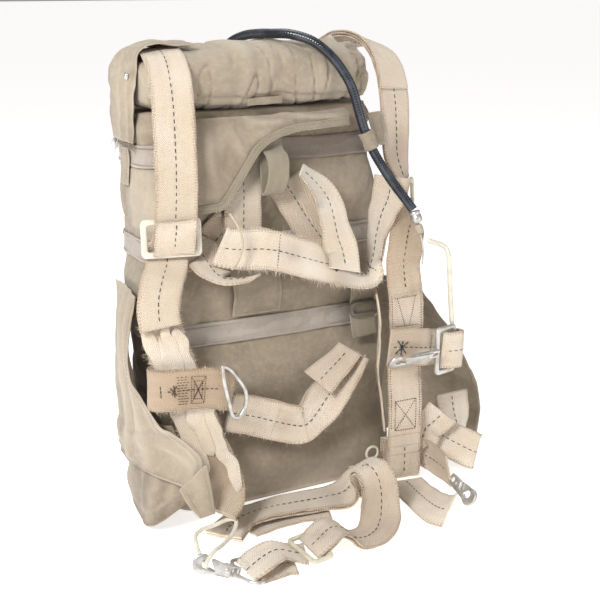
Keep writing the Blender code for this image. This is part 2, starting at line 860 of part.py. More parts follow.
def snap_hook(name, reach, place, ahead, up):
    """A forged hook with a round nose, its throat open on one side, and an eye at its rear."""
    body = [(-2.5, -5.5), (4.0, -6.5), (reach - 12.0, -8.0)]
    body += arc(reach, 0.0, HOOK_NOSE_RADIUS, -130, 104, 14)
    body += [(reach - 5.5, 8.8), (reach - 6.2, 6.2)]
    body += arc(reach - 3.5, 0.8, THROAT_RADIUS, 118, -150, 12)
    body += [(reach - 13.0, -3.2), (reach - 18.0, -0.5), (reach - 20.0, 4.0), (reach - 22.0, 6.8)]
    body += [(4.0, 6.5), (-2.5, 5.5)]
    eye = arc(2.6, 0.0, 3.3, 0, 330, 11)
    hook = plate(name, (body, eye), HOOK_THICKNESS, steel)
    return aimed(hook, place, ahead, up)


def snap_gate(name, reach, place, ahead, up):
    """The sprung cover of a hook. Its origin lies on the rivet that it turns on."""
    lower = [(7.8, -6.0), (reach - 15.0, -6.0), (reach - 13.0, -2.0), (reach - 8.5, 4.6)]
    upper = [(reach - 7.6, 8.2), (reach - 11.0, 8.6), (reach - 21.0, 6.6), (7.8, 6.0)]
    outline = [(x - PIVOT[0], y - PIVOT[1]) for x, y in lower + upper]
    cover = plate(name, (outline,), COVER_THICKNESS, steel)
    x_axis = Vector(ahead).normalized()
    z_axis = x_axis.cross(Vector(up)).normalized()
    y_axis = z_axis.cross(x_axis)
    lift = HOOK_THICKNESS / 2 + COVER_THICKNESS / 2 + COVER_CLEARANCE
    rivet = Vector(place) + x_axis * PIVOT[0] + y_axis * PIVOT[1] - z_axis * lift
    return aimed(cover, rivet, ahead, up)


def point_along(item, place, aim):
    """Put an object at a place with its local Z along a direction."""
    turn = Vector(aim).to_track_quat("Z", "Y").to_matrix().to_4x4()
    item.matrix_world = Matrix.Translation(Vector(place) * MM) @ turn
    return item


def turned_bar(name, place, aim, diameter, length, finish, segments=20):
    """A short round bar with flat ends, its axis along a given direction."""
    bm = bmesh.new()
    bmesh.ops.create_cone(
        bm,
        cap_ends=True,
        segments=segments,
        radius1=diameter / 2 * MM,
        radius2=diameter / 2 * MM,
        depth=length * MM,
    )
    item = mesh_object(name, bm, finish)
    return point_along(item, place, aim)


def webbing_frame(name, width, height, rim, place, ahead, up):
    """A flat slide with one slot, which webbing runs through."""
    outer = rounded_box(width / 2, height / 2, SLIDE_CORNER)
    slot = rounded_box(width / 2 - rim, height / 2 - rim, SLOT_CORNER)
    item = plate(name, (outer, slot), SLIDE_THICKNESS, painted)
    return aimed(item, place, ahead, up)


clear_scene()
parts = new_collection("packed_parachute")
canvas = material("canvas", (0.36, 0.30, 0.21), 0.9)
tape = material("tape", (0.34, 0.29, 0.24), 0.85)
webbing = material("webbing", (0.78, 0.66, 0.50), 0.85)
keeper = material("keeper_tape", (0.42, 0.36, 0.26), 0.85)
steel = material("steel", (0.70, 0.70, 0.68), 0.3, 1.0)
painted = material("painted_metal", (0.58, 0.55, 0.45), 0.5)
black = material("black_housing", (0.02, 0.025, 0.035), 0.25)

pack_body()
head_roll()
for number, band_height in enumerate(BAND_HEIGHTS, start=1):
    pack_tape(f"band_{number}", band_height, BAND_WIDTH, tape)

for web_name, web_rows in WEBS.items():
    web_width = EDGE_WEB_WIDTH if web_name == "edge_web" else WEBBING_WIDTH
    web_step = FINE_STEPS.get(web_name, WEB_STEP)
    strap(web_name, web_rows, web_width, WEBBING_THICKNESS, webbing, web_step)
strap("keeper_tape", KEEPER_ROWS, KEEPER_TAPE_WIDTH, TAPE_THICKNESS, keeper, KEEPER_STEP)
strap("retainer_strap", RETAINER_ROWS, RETAINER_WIDTH, CANVAS_THICKNESS, keeper, WEB_STEP)
strap("flap_binding", BINDING_ROWS, BINDING_WIDTH, TAPE_THICKNESS, keeper, WEB_STEP)
for panel_name, panel_rows in PANELS.items():
    cloth(panel_name, panel_rows, CANVAS_THICKNESS, canvas)

pocket_rows = []
for height in POCKET_HEIGHTS:
    front = pack_face(height) - POCKET_LIFT
    middle = (POCKET_LEFT + POCKET_RIGHT) / 2
    pocket_rows.append(((POCKET_LEFT, front, height), (middle, front, height), (POCKET_RIGHT, front, height)))
cloth("record_pocket", pocket_rows, CANVAS_THICKNESS, canvas, across_steps=2, along_steps=2)

for slide in SLIDES:
    webbing_frame(*slide)

wire("leg_link_left", LEG_LINK, LINK_DIAMETER, painted, closed=True)
wire("chest_ring", CHEST_RING, RING_DIAMETER, steel, closed=True)
wire("leg_bail_left", LEG_BAIL, BAIL_DIAMETER, steel, closed=True)
wire("ripcord_handle", HANDLE_ROUTE, HANDLE_DIAMETER, painted)
wire("ripcord_cable", CABLE_ROUTE, CABLE_DIAMETER, steel)
wire("ripcord_housing", HOUSING_ROUTE, HOUSING_DIAMETER, black, spacing=HOUSING_SPACING)
ring_x, ring_y, ring_z = SADDLE_RING_PLACE
ring_route = [(ring_x + x, ring_y, ring_z + z) for x, z in arc(0.0, 0.0, SADDLE_RING_RADIUS, 0, 315, 7)]
wire("saddle_ring", ring_route, SADDLE_RING_WIRE, painted, closed=True)
turned_bar("housing_ferrule", FERRULE_PLACE, FERRULE_AIM, FERRULE_DIAMETER, FERRULE_LENGTH, steel)
turned_bar("snap_stud", STUD_PLACE, (-1.0, 0.0, 0.0), STUD_DIAMETER, STUD_HEIGHT, steel)

sleeve_middle = (Vector(SLEEVE_START) + Vector(SLEEVE_END)) / 2
sleeve_aim = Vector(SLEEVE_END) - Vector(SLEEVE_START)
sleeve_mesh = bmesh.new()
bmesh.ops.create_cone(
    sleeve_mesh,
    cap_ends=False,
    segments=24,
    radius1=SLEEVE_DIAMETER / 2 * MM,
    radius2=SLEEVE_DIAMETER / 2 * MM,
    depth=sleeve_aim.length * MM,
)
sleeve = thicken(mesh_object("housing_sleeve", sleeve_mesh, canvas), TAPE_THICKNESS)
point_along(sleeve, sleeve_middle, sleeve_aim)

for snap_name, reach, place, ahead, up in SNAPS:
    snap_hook(snap_name, reach, place, ahead, up)
    snap_gate(snap_name + "_gate", reach, place, ahead, up)
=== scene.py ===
import math
import random

import bmesh
import bpy
from mathutils import Matrix, Vector, noise


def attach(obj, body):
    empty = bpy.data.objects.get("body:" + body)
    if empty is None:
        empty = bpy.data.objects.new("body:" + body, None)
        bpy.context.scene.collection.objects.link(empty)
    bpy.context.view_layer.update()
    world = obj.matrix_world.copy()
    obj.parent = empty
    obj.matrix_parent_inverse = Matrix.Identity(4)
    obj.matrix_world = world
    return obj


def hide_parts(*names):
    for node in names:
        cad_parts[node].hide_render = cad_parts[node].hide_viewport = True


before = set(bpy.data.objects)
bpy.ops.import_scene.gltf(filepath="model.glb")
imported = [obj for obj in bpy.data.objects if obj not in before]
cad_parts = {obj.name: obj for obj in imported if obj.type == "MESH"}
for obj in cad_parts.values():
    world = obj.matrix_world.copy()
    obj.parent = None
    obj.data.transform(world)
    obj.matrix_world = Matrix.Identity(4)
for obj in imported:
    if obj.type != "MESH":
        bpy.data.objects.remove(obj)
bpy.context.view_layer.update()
MM = 0.001

# Camera, light and floor. The pack stands on a plain pale floor, seen from its left front corner
# and a little above, in soft light from the left with a bright surround.
CAMERA_TURN = math.radians(-28.5)
CAMERA_RISE = math.radians(16.0)
CAMERA_DISTANCE = 1.33
LOOKED_AT = Vector((0.041, -0.028, 0.219))
view = bpy.data.cameras.new("view")
view.sensor_width = 36.0
view.lens = 67.2
camera = bpy.data.objects.new("camera", view)
bpy.context.scene.collection.objects.link(camera)
camera.location = LOOKED_AT + CAMERA_DISTANCE * Vector((
    math.sin(CAMERA_TURN) * math.cos(CAMERA_RISE),
    -math.cos(CAMERA_TURN) * math.cos(CAMERA_RISE),
    math.sin(CAMERA_RISE),
))
camera.rotation_euler = (math.pi / 2 - CAMERA_RISE, 0.0, CAMERA_TURN)
bpy.context.scene.camera = camera
bpy.context.scene.view_settings.view_transform = "Standard"
bpy.context.scene.view_settings.look = "None"

surround = bpy.data.worlds.new("surround")
surround.use_nodes = True
surround.node_tree.nodes["Background"].inputs["Color"].default_value = (1.0, 0.99, 0.985, 1.0)
surround.node_tree.nodes["Background"].inputs["Strength"].default_value = 0.33
bpy.context.scene.world = surround


def soft_lamp(name, place, size, power, colour):
    """A square lamp that points at the middle of the pack."""
    lamp = bpy.data.lights.new(name, "AREA")
    lamp.shape = "SQUARE"
    lamp.size = size
    lamp.energy = power
    lamp.color = colour
    item = bpy.data.objects.new(name, lamp)
    item.location = place
    item.rotation_euler = (LOOKED_AT - Vector(place)).to_track_quat("-Z", "Y").to_euler()
    bpy.context.scene.collection.objects.link(item)


soft_lamp("window_lamp", (-1.7, -1.15, 1.7), 0.7, 58.0, (1.0, 0.985, 0.97))
soft_lamp("fill_lamp", (1.3, -1.9, 0.9), 1.6, 13.0, (1.0, 0.98, 0.97))
soft_lamp("top_lamp", (0.1, 0.5, 1.9), 1.2, 12.0, (1.0, 1.0, 1.0))

bpy.ops.object.select_all(action="DESELECT")
bpy.ops.mesh.primitive_plane_add(size=60.0, location=(0.0, 0.0, 0.0))
floor = bpy.context.object
floor.name = "floor"
paper = bpy.data.materials.new("floor_paper")
paper.use_nodes = True
paper_look = paper.node_tree.nodes["Principled BSDF"].inputs
paper_look["Base Color"].default_value = (0.93, 0.905, 0.90, 1.0)
paper_look["Roughness"].default_value = 0.9
paper_look["Emission Color"].default_value = (1.0, 0.985, 0.98, 1.0)
paper_look["Emission Strength"].default_value = 0.66
floor.data.materials.append(paper)

# Ripcord housing. A ribbed conduit with a black, glossy cover runs over the head roll and down to
# the right web, where a plain steel ferrule closes it. The pull cable slides inside it.
HOUSING_DIAMETER = 11.0
HOUSING_ROUTE = (
    (-10, 97, 470), (-6, 95, 492), (4, 80, 512), (13, 60, 521.5), (19, 34, 525), (25, 8, 526),
    (36, -14, 526), (54, -32, 519), (70, -45, 504), (83, -53, 485), (92, -58, 466), (99, -61, 441),
    (107, -63, 417), (116, -68, 394), (128, -82, 367), (140, -95, 345), (148, -103, 331),
)


def blend_rows(rows, place):
    """Value of a table at a fractional row, on a smooth curve through the rows."""
    last = len(rows) - 1
    index = min(int(place), last - 1)
    t = place - index
    p0 = rows[max(index - 1, 0)]
    p1 = rows[index]
    p2 = rows[index + 1]
    p3 = rows[min(index + 2, last)]
    return [
        0.5 * (2 * b + (c - a) * t + (2 * a - 5 * b + 4 * c - d) * t * t + (3 * b - a - 3 * c + d) * t ** 3)
        for a, b, c, d in zip(p0, p1, p2, p3)
    ]


def even_places(rows, step):
    """Fractional rows about one step apart along the curve, and the curve's whole length."""
    fine = 24
    places = [index / fine for index in range((len(rows) - 1) * fine + 1)]
    points = [Vector(blend_rows(rows, place)[:3]) for place in places]
    travelled = [0.0]
    for before, after in zip(points, points[1:]):
        travelled.append(travelled[-1] + (after - before).length)
    count = max(2, round(travelled[-1] / step))
    chosen = []
    index = 0
    for number in range(count + 1):
        goal = travelled[-1] * number / count
        while index < len(places) - 2 and travelled[index + 1] < goal:
            index += 1
        share = (goal - travelled[index]) / max(travelled[index + 1] - travelled[index], 1e-9)
        chosen.append(places[index] + (places[index + 1] - places[index]) * min(share, 1.0))
    return chosen, travelled[-1]


def add_piece(name, bm, finishes):
    """Turn an edited mesh into a named, smooth piece that rides on the pack and harness."""
    mesh = bpy.data.meshes.new(name)
    bm.to_mesh(mesh)
    bm.free()
    for finish in finishes:
        mesh.materials.append(finish)
    mesh.shade_smooth()
    piece = bpy.data.objects.new(name, mesh)
    bpy.context.scene.collection.objects.link(piece)
    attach(piece, "harness_pack")
    return piece


def skin(bm, rings, joined=None):
    """Faces between rings of points. A first ring given again joins the ends, which are else capped."""
    chain = rings + ([joined] if joined else [])
    faces = []
    for lower, upper in zip(chain, chain[1:]):
        for side in range(len(lower)):
            after = (side + 1) % len(lower)
            faces.append(bm.faces.new((lower[side], lower[after], upper[after], upper[side])))
    if not joined:
        faces.append(bm.faces.new(list(reversed(rings[0]))))
        faces.append(bm.faces.new(rings[-1]))
    return faces


def add_tube(bm, points, radii, sides=12, closed=False, index=0):
    """Skin a round tube on points in metres, with a radius for each point."""
    count = len(points)
    rings = []
    across = None
    for number, point in enumerate(points):
        before = points[number - 1] if number or closed else point
        after = points[(number + 1) % count] if number < count - 1 or closed else point
        ahead = (after - before).normalized()
        if across is None:
            across = ahead.orthogonal().normalized()
        across = (across - ahead * across.dot(ahead)).normalized()
        up = ahead.cross(across)
        ring = []
        for side in range(sides):
            angle = 2 * math.pi * side / sides
            turned = across * math.cos(angle) + up * math.sin(angle)
            ring.append(bm.verts.new(point + turned * radii[number]))
        rings.append(ring)
    joined = None
    if closed:
        first, last = rings[0], rings[-1]
        shift = min(range(sides), key=lambda k: (first[k].co - last[0].co).length)
        joined = first[shift:] + first[:shift]
    for face in skin(bm, rings, joined):
        face.material_index = index


def shader_of(name):
    finish = bpy.data.materials.new(name)
    finish.use_nodes = True
    return finish, finish.node_tree, finish.node_tree.nodes["Principled BSDF"]


def fill(tree, made, inputs):
    """Set or link the inputs of a node, each by its name or by i and its number."""
    for key, value in inputs.items():
        target = made.inputs[int(key[1:])] if key[0] == "i" and key[1:].isdigit() else made.inputs[key]
        if isinstance(value, bpy.types.NodeSocket):
            tree.links.new(value, target)
        else:
            target.default_value = value


def node(tree, kind, settings=(), **inputs):
    made = tree.nodes.new("ShaderNode" + kind)
    for option, value in dict(settings).items():
        setattr(made, option, value)
    fill(tree, made, inputs)
    return made


def object_place(tree):
    return node(tree, "TexCoord").outputs["Object"]


def attribute(tree, name):
    return node(tree, "Attribute", {"attribute_name": name}).outputs["Fac"]


def sums(tree, operation, first, second=0.0, third=0.0):
    return node(tree, "Math", {"operation": operation}, i0=first, i1=second, i2=third).outputs[0]


def ramp(tree, value, start, end, low=0.0, high=1.0):
    """A value stretched from one range to another, and held inside it."""
    return node(tree, "MapRange", {"clamp": True}, Value=value, i1=start, i2=end, i3=low, i4=high).outputs[0]


def graded(tree, value, low, high, start=0.0, end=1.0):
    """A factor turned into a mix of two colours."""
    factor = ramp(tree, value, start, end)
    return node(tree, "Mix", {"data_type": "RGBA"}, i0=factor, i6=(*low, 1.0), i7=(*high, 1.0)).outputs[2]


def tinted(tree, colour, factor, other):
    return node(tree, "Mix", {"data_type": "RGBA"}, i0=factor, i6=colour, i7=(*other, 1.0)).outputs[2]


def speckle(tree, scale, detail=3.0, roughness=0.6, vector=None, distortion=0.0):
    place = vector or object_place(tree)
    look = {"Scale": scale, "Detail": detail, "Roughness": roughness, "Distortion": distortion}
    return node(tree, "TexNoise", {}, Vector=place, **look).outputs["Fac"]


def bumped(tree, height, strength, distance, under=None):
    """Normals tilted by a height, on top of other tilted normals if they are given."""
    made = node(tree, "Bump", {}, Height=height, Strength=strength, Distance=distance)
    if under:
        tree.links.new(under, made.inputs["Normal"])
    return made.outputs["Normal"]


black_cover, tree, shader = shader_of("black_cover")
dust = speckle(tree, 60.0, 4.0)
fill(tree, shader, {
    "Base Color": graded(tree, dust, (0.010, 0.014, 0.022), (0.040, 0.050, 0.066), 0.45, 0.75),
    "Roughness": sums(tree, "MULTIPLY_ADD", dust, 0.35, 0.10),
    "Coat Weight": 0.35,
    "Coat Roughness": 0.15,
})

places, housing_length = even_places(HOUSING_ROUTE, 0.75)
housing_path = [Vector(blend_rows(HOUSING_ROUTE, place)) * MM for place in places]
RIB = (0.965, 1.0, 1.015, 1.0)
housing_radii = [HOUSING_DIAMETER / 2 * MM * RIB[number % 4] for number in range(len(housing_path))]
bm = bmesh.new()
add_tube(bm, housing_path, housing_radii, sides=16)
housing = add_piece("conduit", bm, [black_cover])
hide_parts("ripcord_housing")

# Head roll and pack body. Both are stuffed canvas: the roll is a bolster drawn in at its ends, and
# the body bulges between the tapes sewn round it. Their canvas is thin, so it puckers at each seam.
PACK_WIDTH = 292.0
CORNER_POWER = 5.5
BAND_HEIGHTS = (203.0, 296.0, 400.0)
# Height, half width beyond half the pack width, front y, back y.
PACK_ROWS = (
    (0.0, -10.0, -77.0, 66.0), (8.0, -3.0, -85.0, 73.0), (48.0, 3.0, -93.0, 81.0), (87.0, 0.0, -79.0, 76.0),
    (97.0, 0.0, -77.0, 76.0), (145.0, 3.0, -78.0, 82.0), (190.0, 0.0, -57.0, 76.0),
    (216.0, 0.0, -52.0, 76.0), (250.0, 3.0, -58.0, 82.0), (283.0, 0.0, -42.0, 76.0),
    (309.0, 0.0, -38.0, 76.0), (348.0, 3.0, -44.0, 82.0), (387.0, 0.0, -25.0, 76.0),
    (413.0, 0.0, -22.0, 76.0), (430.0, 1.0, -26.0, 77.0), (446.0, -3.0, -20.0, 73.0),
)
# From the left end: x, middle y, middle z, half depth, half height.
ROLL_ROWS = (
    (-142.0, 22.0, 477.0, 36.0, 18.0), (-137.0, 22.0, 477.5, 50.0, 24.0), (-120.0, 22.0, 478.0, 58.0, 27.0),
    (-100.0, 21.5, 479.5, 60.0, 30.5), (-80.0, 21.0, 481.0, 61.0, 33.0), (-60.0, 20.0, 482.0, 61.0, 34.5),
    (0.0, 20.0, 482.5, 62.0, 35.0), (60.0, 21.0, 483.0, 61.0, 35.5), (110.0, 23.0, 483.0, 58.0, 34.5),
    (130.0, 24.0, 482.0, 50.0, 29.0), (136.0, 24.0, 481.0, 36.0, 21.0),
)


def weave_finish(name, lit, worn, shade, pitch, depth):
    """Plain woven cotton: threads both ways, its colour patched at random between a lit and a shaded tone
    (painted light and shade), pale where it is worn, and darkened by real dirt and painted shade.
    """
    finish, tree, shader = shader_of(name)
    place = object_place(tree)
    warp = node(tree, "TexWave", {"bands_direction": "X"}, Vector=place, Scale=0.31 / pitch, Distortion=1.2)
    weft = node(tree, "TexWave", {"bands_direction": "Z"}, Vector=place, Scale=0.31 / pitch, Distortion=1.2)
    slub = speckle(tree, 420.0, 3.0, 0.7, place)
    threads = sums(tree, "ADD", sums(tree, "MULTIPLY", warp.outputs["Fac"], weft.outputs["Fac"]), slub)
    patches = speckle(tree, 9.0, 5.0, 0.62, place, 0.4)
    base = graded(tree, patches, shade, lit, 0.32, 0.66)
    fine = speckle(tree, 160.0, 4.0, 0.7, place)
    base = tinted(tree, base, graded(tree, fine, (0.0, 0.0, 0.0), (0.32, 0.32, 0.32), 0.45, 0.8), worn)
    base = tinted(tree, base, sums(tree, "MULTIPLY", attribute(tree, "wear"), 0.55), worn)
    # Darkened by the soil_and_shade attribute: real stains on the panels, and painted shade on the pack body
    # and the top tape.
    base = tinted(tree, base, sums(tree, "MULTIPLY", attribute(tree, "soil_and_shade"), 0.8), (0.10, 0.060, 0.035))
    rumple = bumped(tree, speckle(tree, 34.0, 3.0, 0.5, place), 0.4, 0.003)
    fill(tree, shader, {
        "Base Color": base,
        "Normal": bumped(tree, threads, 0.55, depth, rumple),
        "Roughness": 0.92,
        "Specular IOR Level": 0.2,
        "Sheen Weight": 0.25,
        "Sheen Roughness": 0.6,
    })
    return finish


canvas = weave_finish(
    "khaki_canvas", (0.34, 0.285, 0.208), (0.54, 0.47, 0.375), (0.205, 0.165, 0.113), 0.0011, 0.0004
)


def ease(value, low, high):
    share = min(max((value - low) / (high - low), 0.0), 1.0)
    return share * share * (3 - 2 * share)


def ripple(point, pitch, seed=0.0):
    """Smooth noise from -1 to 1 that repeats about every pitch millimetres."""
    return 2.0 * noise.noise(Vector(point) / pitch + Vector((seed, 1.7 * seed, -seed)))


def pack_profile(height):
    place = 0
    while place < len(PACK_ROWS) - 2 and PACK_ROWS[place + 1][0] <= height:
        place += 1
    share = (height - PACK_ROWS[place][0]) / (PACK_ROWS[place + 1][0] - PACK_ROWS[place][0])
    return blend_rows(PACK_ROWS, place + share)


def pack_point(height, angle, grow):
    """Point on the pack at a height and a turn round it, pushed out by a little."""
    swell, front, back = pack_profile(height)[1:]
    x = math.copysign(abs(math.cos(angle)) ** (2 / CORNER_POWER), math.cos(angle))
    y = math.copysign(abs(math.sin(angle)) ** (2 / CORNER_POWER), math.sin(angle))
    half_depth = (back - front) / 2 + grow
    return Vector((x * (PACK_WIDTH / 2 + swell + grow), (front + back) / 2 + y * half_depth, height))


SEAM_HEIGHTS = (92.0,) + BAND_HEIGHTS


def pack_folds(point, height):
    """How far the canvas stands out: puckers at the seams and slack folds between them."""
    gap = min(abs(height - seam) for seam in SEAM_HEIGHTS)
    round_it = Vector((point.x, point.y, height * 0.16))
    pucker = ripple(round_it, 9.0, 3.1) * math.exp(-max(gap - 12.0, 0.0) / 11.0) * ease(gap, 9.0, 14.0)
    slack = ripple(Vector((point.x, point.y, height * 0.38 + point.x * 0.2)), 34.0, 8.4)
    slack *= ease(gap, 12.0, 34.0)
    broad = ripple(point, 95.0, 5.2) * ease(gap, 12.0, 40.0)
    crumple = abs(ripple(Vector((point.x * 0.8, point.y, height * 0.6 - point.x * 0.35)), 22.0, 2.2))
    sharp = -1.6 * max(0.0, 0.34 - crumple) * ease(gap, 14.0, 30.0)
    return 1.6 * pucker + 1.5 * slack + 2.2 * broad + 2.4 * sharp


AROUND = 260
LEVEL_STEP = 2.0
PACK_HEIGHT = PACK_ROWS[-1][0]
bm = bmesh.new()
wear_layer = bm.verts.layers.float.new("wear")
soil_and_shade_layer = bm.verts.layers.float.new("soil_and_shade")
rings = []
for count in range(int(PACK_HEIGHT / LEVEL_STEP) + 1):
    level = count * LEVEL_STEP
    ring = []
    for number in range(AROUND):
        angle = 2 * math.pi * (number + 0.5) / AROUND
        plain = pack_point(level, angle, 0.0)
        out = (pack_point(level, angle, 1.0) - plain).normalized()
        inner = ease(level, 0.0, 14.0) * (1.0 - ease(level, PACK_HEIGHT - 10.0, PACK_HEIGHT))
        move = pack_folds(plain, level) * inner - 0.6
        panel = 0.0
        if plain.x < -120.0:
            panel = ease(plain.y, -36.0, -34.0) * (1.0 - ease(plain.y, 18.0, 20.0))
            panel *= ease(level, 318.0, 322.0) * (1.0 - ease(level, 384.0, 388.0))
        move += 1.8 * panel + 1.6 * panel * math.exp(-((plain.y + 33.0) / 2.5) ** 2)
        vertex = bm.verts.new((plain + out * move) * MM)
        corner = min(abs(math.sin(2 * angle)), 1.0) ** 3
        vertex[wear_layer] = 0.25 * corner + 0.5 * max(0.0, move / 5.0) + 0.45 * panel
        # Painted shade in soil_and_shade, on the front only: the lower right of the body, which lies in shadow,
        # and the part under the upper flap, which the flap shades, are darkened. The front also gets darker
        # towards the bottom.
        front = ease(-plain.y, 0.0, 30.0)
        lower = ease(plain.x, 60.0, 150.0) * (1.0 - ease(level, 170.0, 240.0))
        canvas_flap_shadow = ease(plain.x, 20.0, 60.0) * ease(level, 340.0, 400.0)
        foot = 1.0 - ease(level, 60.0, 200.0)
        vertex[soil_and_shade_layer] = front * max(0.42 * lower, 0.40 * canvas_flap_shadow, 0.24 * foot)
        ring.append(vertex)
    rings.append(ring)
skin(bm, rings)
body = add_piece("pack_cover", bm, [canvas])
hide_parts("pack_body")

ROLL_POWER = 2.7
ROLL_LEFT, ROLL_RIGHT = ROLL_ROWS[0][0], ROLL_ROWS[-1][0]
ROLL_SLICES = 140
ROLL_SEAM_HEIGHT = 457.0
SPREAD = 180
bm = bmesh.new()
wear_layer = bm.verts.layers.float.new("wear")
soil_and_shade_layer = bm.verts.layers.float.new("soil_and_shade")
rings = []
for number in range(ROLL_SLICES + 1):
    x = ROLL_LEFT + (ROLL_RIGHT - ROLL_LEFT) * number / ROLL_SLICES
    place = 0
    while place < len(ROLL_ROWS) - 2 and ROLL_ROWS[place + 1][0] <= x:
        place += 1
    share = (x - ROLL_ROWS[place][0]) / (ROLL_ROWS[place + 1][0] - ROLL_ROWS[place][0])
    share = min(max(share, 0.0), 1.0)
    low, high = ROLL_ROWS[place], ROLL_ROWS[place + 1]
    round_end = math.sin(share * math.pi / 2) if place == 0 else share
    if place == len(ROLL_ROWS) - 2:
        round_end = 1 - math.cos(share * math.pi / 2)
    mid_y, mid_z, half_depth, half_height = [a + (b - a) * round_end for a, b in zip(low[1:], high[1:])]
    end_gap = min(x - ROLL_LEFT, ROLL_RIGHT - x)
    ring = []
    for side in range(SPREAD):
        angle = 2 * math.pi * side / SPREAD
        y = math.copysign(abs(math.cos(angle)) ** (2 / ROLL_POWER), math.cos(angle))
        z = math.copysign(abs(math.sin(angle)) ** (2 / ROLL_POWER), math.sin(angle))
        plain = Vector((x, mid_y + y * half_depth, mid_z + z * half_height))
        out = Vector((0.0, y / half_depth, z / half_height)).normalized()
        run = Vector((x + 7.0 * ripple(plain, 60.0, 1.0), plain.y * 0.22, plain.z * 0.25))
        crease = 1.0 - min(1.0, abs(ripple(run, 17.0, 4.0)) * 3.4)
        move = 1.7 * ripple(run, 24.0, 6.0) - 3.2 * crease ** 2 + 2.2 * ripple(plain, 70.0, 9.0)
        move += 2.0 * ripple(Vector((x * 0.2, plain.y, plain.z)), 12.0, 7.0) * math.exp(-end_gap / 14.0)
        crumpled = ease(x, 100.0, 114.0) * ease(-plain.y, -30.0, 0.0)
        folded = abs(ripple(Vector((x * 1.2, plain.y * 0.6, plain.z)), 15.0, 12.0))
        move += crumpled * (5.0 * ripple(plain, 16.0, 11.0) - 6.0 * max(0.0, 0.5 - 2.0 * folded))
        seam_gap = abs(plain.z - ROLL_SEAM_HEIGHT) if plain.y < -10.0 else 99.0
        move += 1.2 * math.exp(-(seam_gap / 2.2) ** 2) - 1.5 * math.exp(-((seam_gap - 5.0) / 1.6) ** 2)
        move *= ease(end_gap, 0.0, 6.0)
        peak = 11.0 * math.exp(-abs((x - 118.0) / 7.0)) * math.exp(-((plain.y - 38.0) / 14.0) ** 2)
        move += peak * ease(z, 0.5, 1.0)
        vertex = bm.verts.new((plain + out * move) * MM)
        vertex[wear_layer] = 0.18 + max(0.0, move / 6.0) + 0.3 * math.exp(-end_gap / 5.0)
        # The crumpled right end of the roll is darkened.
        vertex[soil_and_shade_layer] = 0.38 * crumpled * ease(x, 104.0, 120.0)
        ring.append(vertex)
    rings.append(ring)
skin(bm, rings)
bmesh.ops.recalc_face_normals(bm, faces=bm.faces)
roll = add_piece("head_bolster", bm, [canvas])
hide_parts("head_roll")

# Tapes round the pack. Grey cotton tape, 25 mm wide, is sewn round the body along both its edges,
# which draws the canvas in. Each goes all the way round, so its ends meet at the back.
band_tape = weave_finish(
    "grey_tape", (0.40, 0.35, 0.305), (0.52, 0.47, 0.42), (0.30, 0.255, 0.215), 0.0009, 0.0003
)


def thread_finish(name, colour):
    finish, tree, shader = shader_of(name)
    twist = speckle(tree, 900.0, 2.0)
    dark = tuple(0.55 * part for part in colour)
    fill(tree, shader, {
        "Base Color": graded(tree, twist, dark, colour, 0.35, 0.65),
        "Normal": bumped(tree, twist, 0.6, 0.0003),
        "Roughness": 0.8,
    })
    return finish


grey_thread = thread_finish("grey_thread", (0.34, 0.30, 0.25))


def add_stitch(bm, middle, ahead, out, length, width, index):
    """One stitch: a short thread that dips into the cloth at both ends."""
    across = ahead.cross(out).normalized()
    rings = []
    for along, rise, size in ((-0.5, -0.35, 0.35), (-0.3, 0.2, 0.9), (0.3, 0.2, 0.9), (0.5, -0.35, 0.35)):
        centre = middle + ahead * along * length + out * rise * width
        ring = []
        for side in range(5):
            angle = 2 * math.pi * side / 5
            turned = across * math.cos(angle) + out * math.sin(angle)
            ring.append(bm.verts.new(centre + turned * size * width / 2))
        rings.append(ring)
    for lower, upper in zip(rings, rings[1:]):
        for side in range(5):
            after = (side + 1) % 5
            face = bm.faces.new((lower[side], upper[side], upper[after], lower[after]))
            face.material_index = index
    bm.faces.new(rings[0]).material_index = index
    bm.faces.new(list(reversed(rings[-1]))).material_index = index


TAPE_AROUND = 300
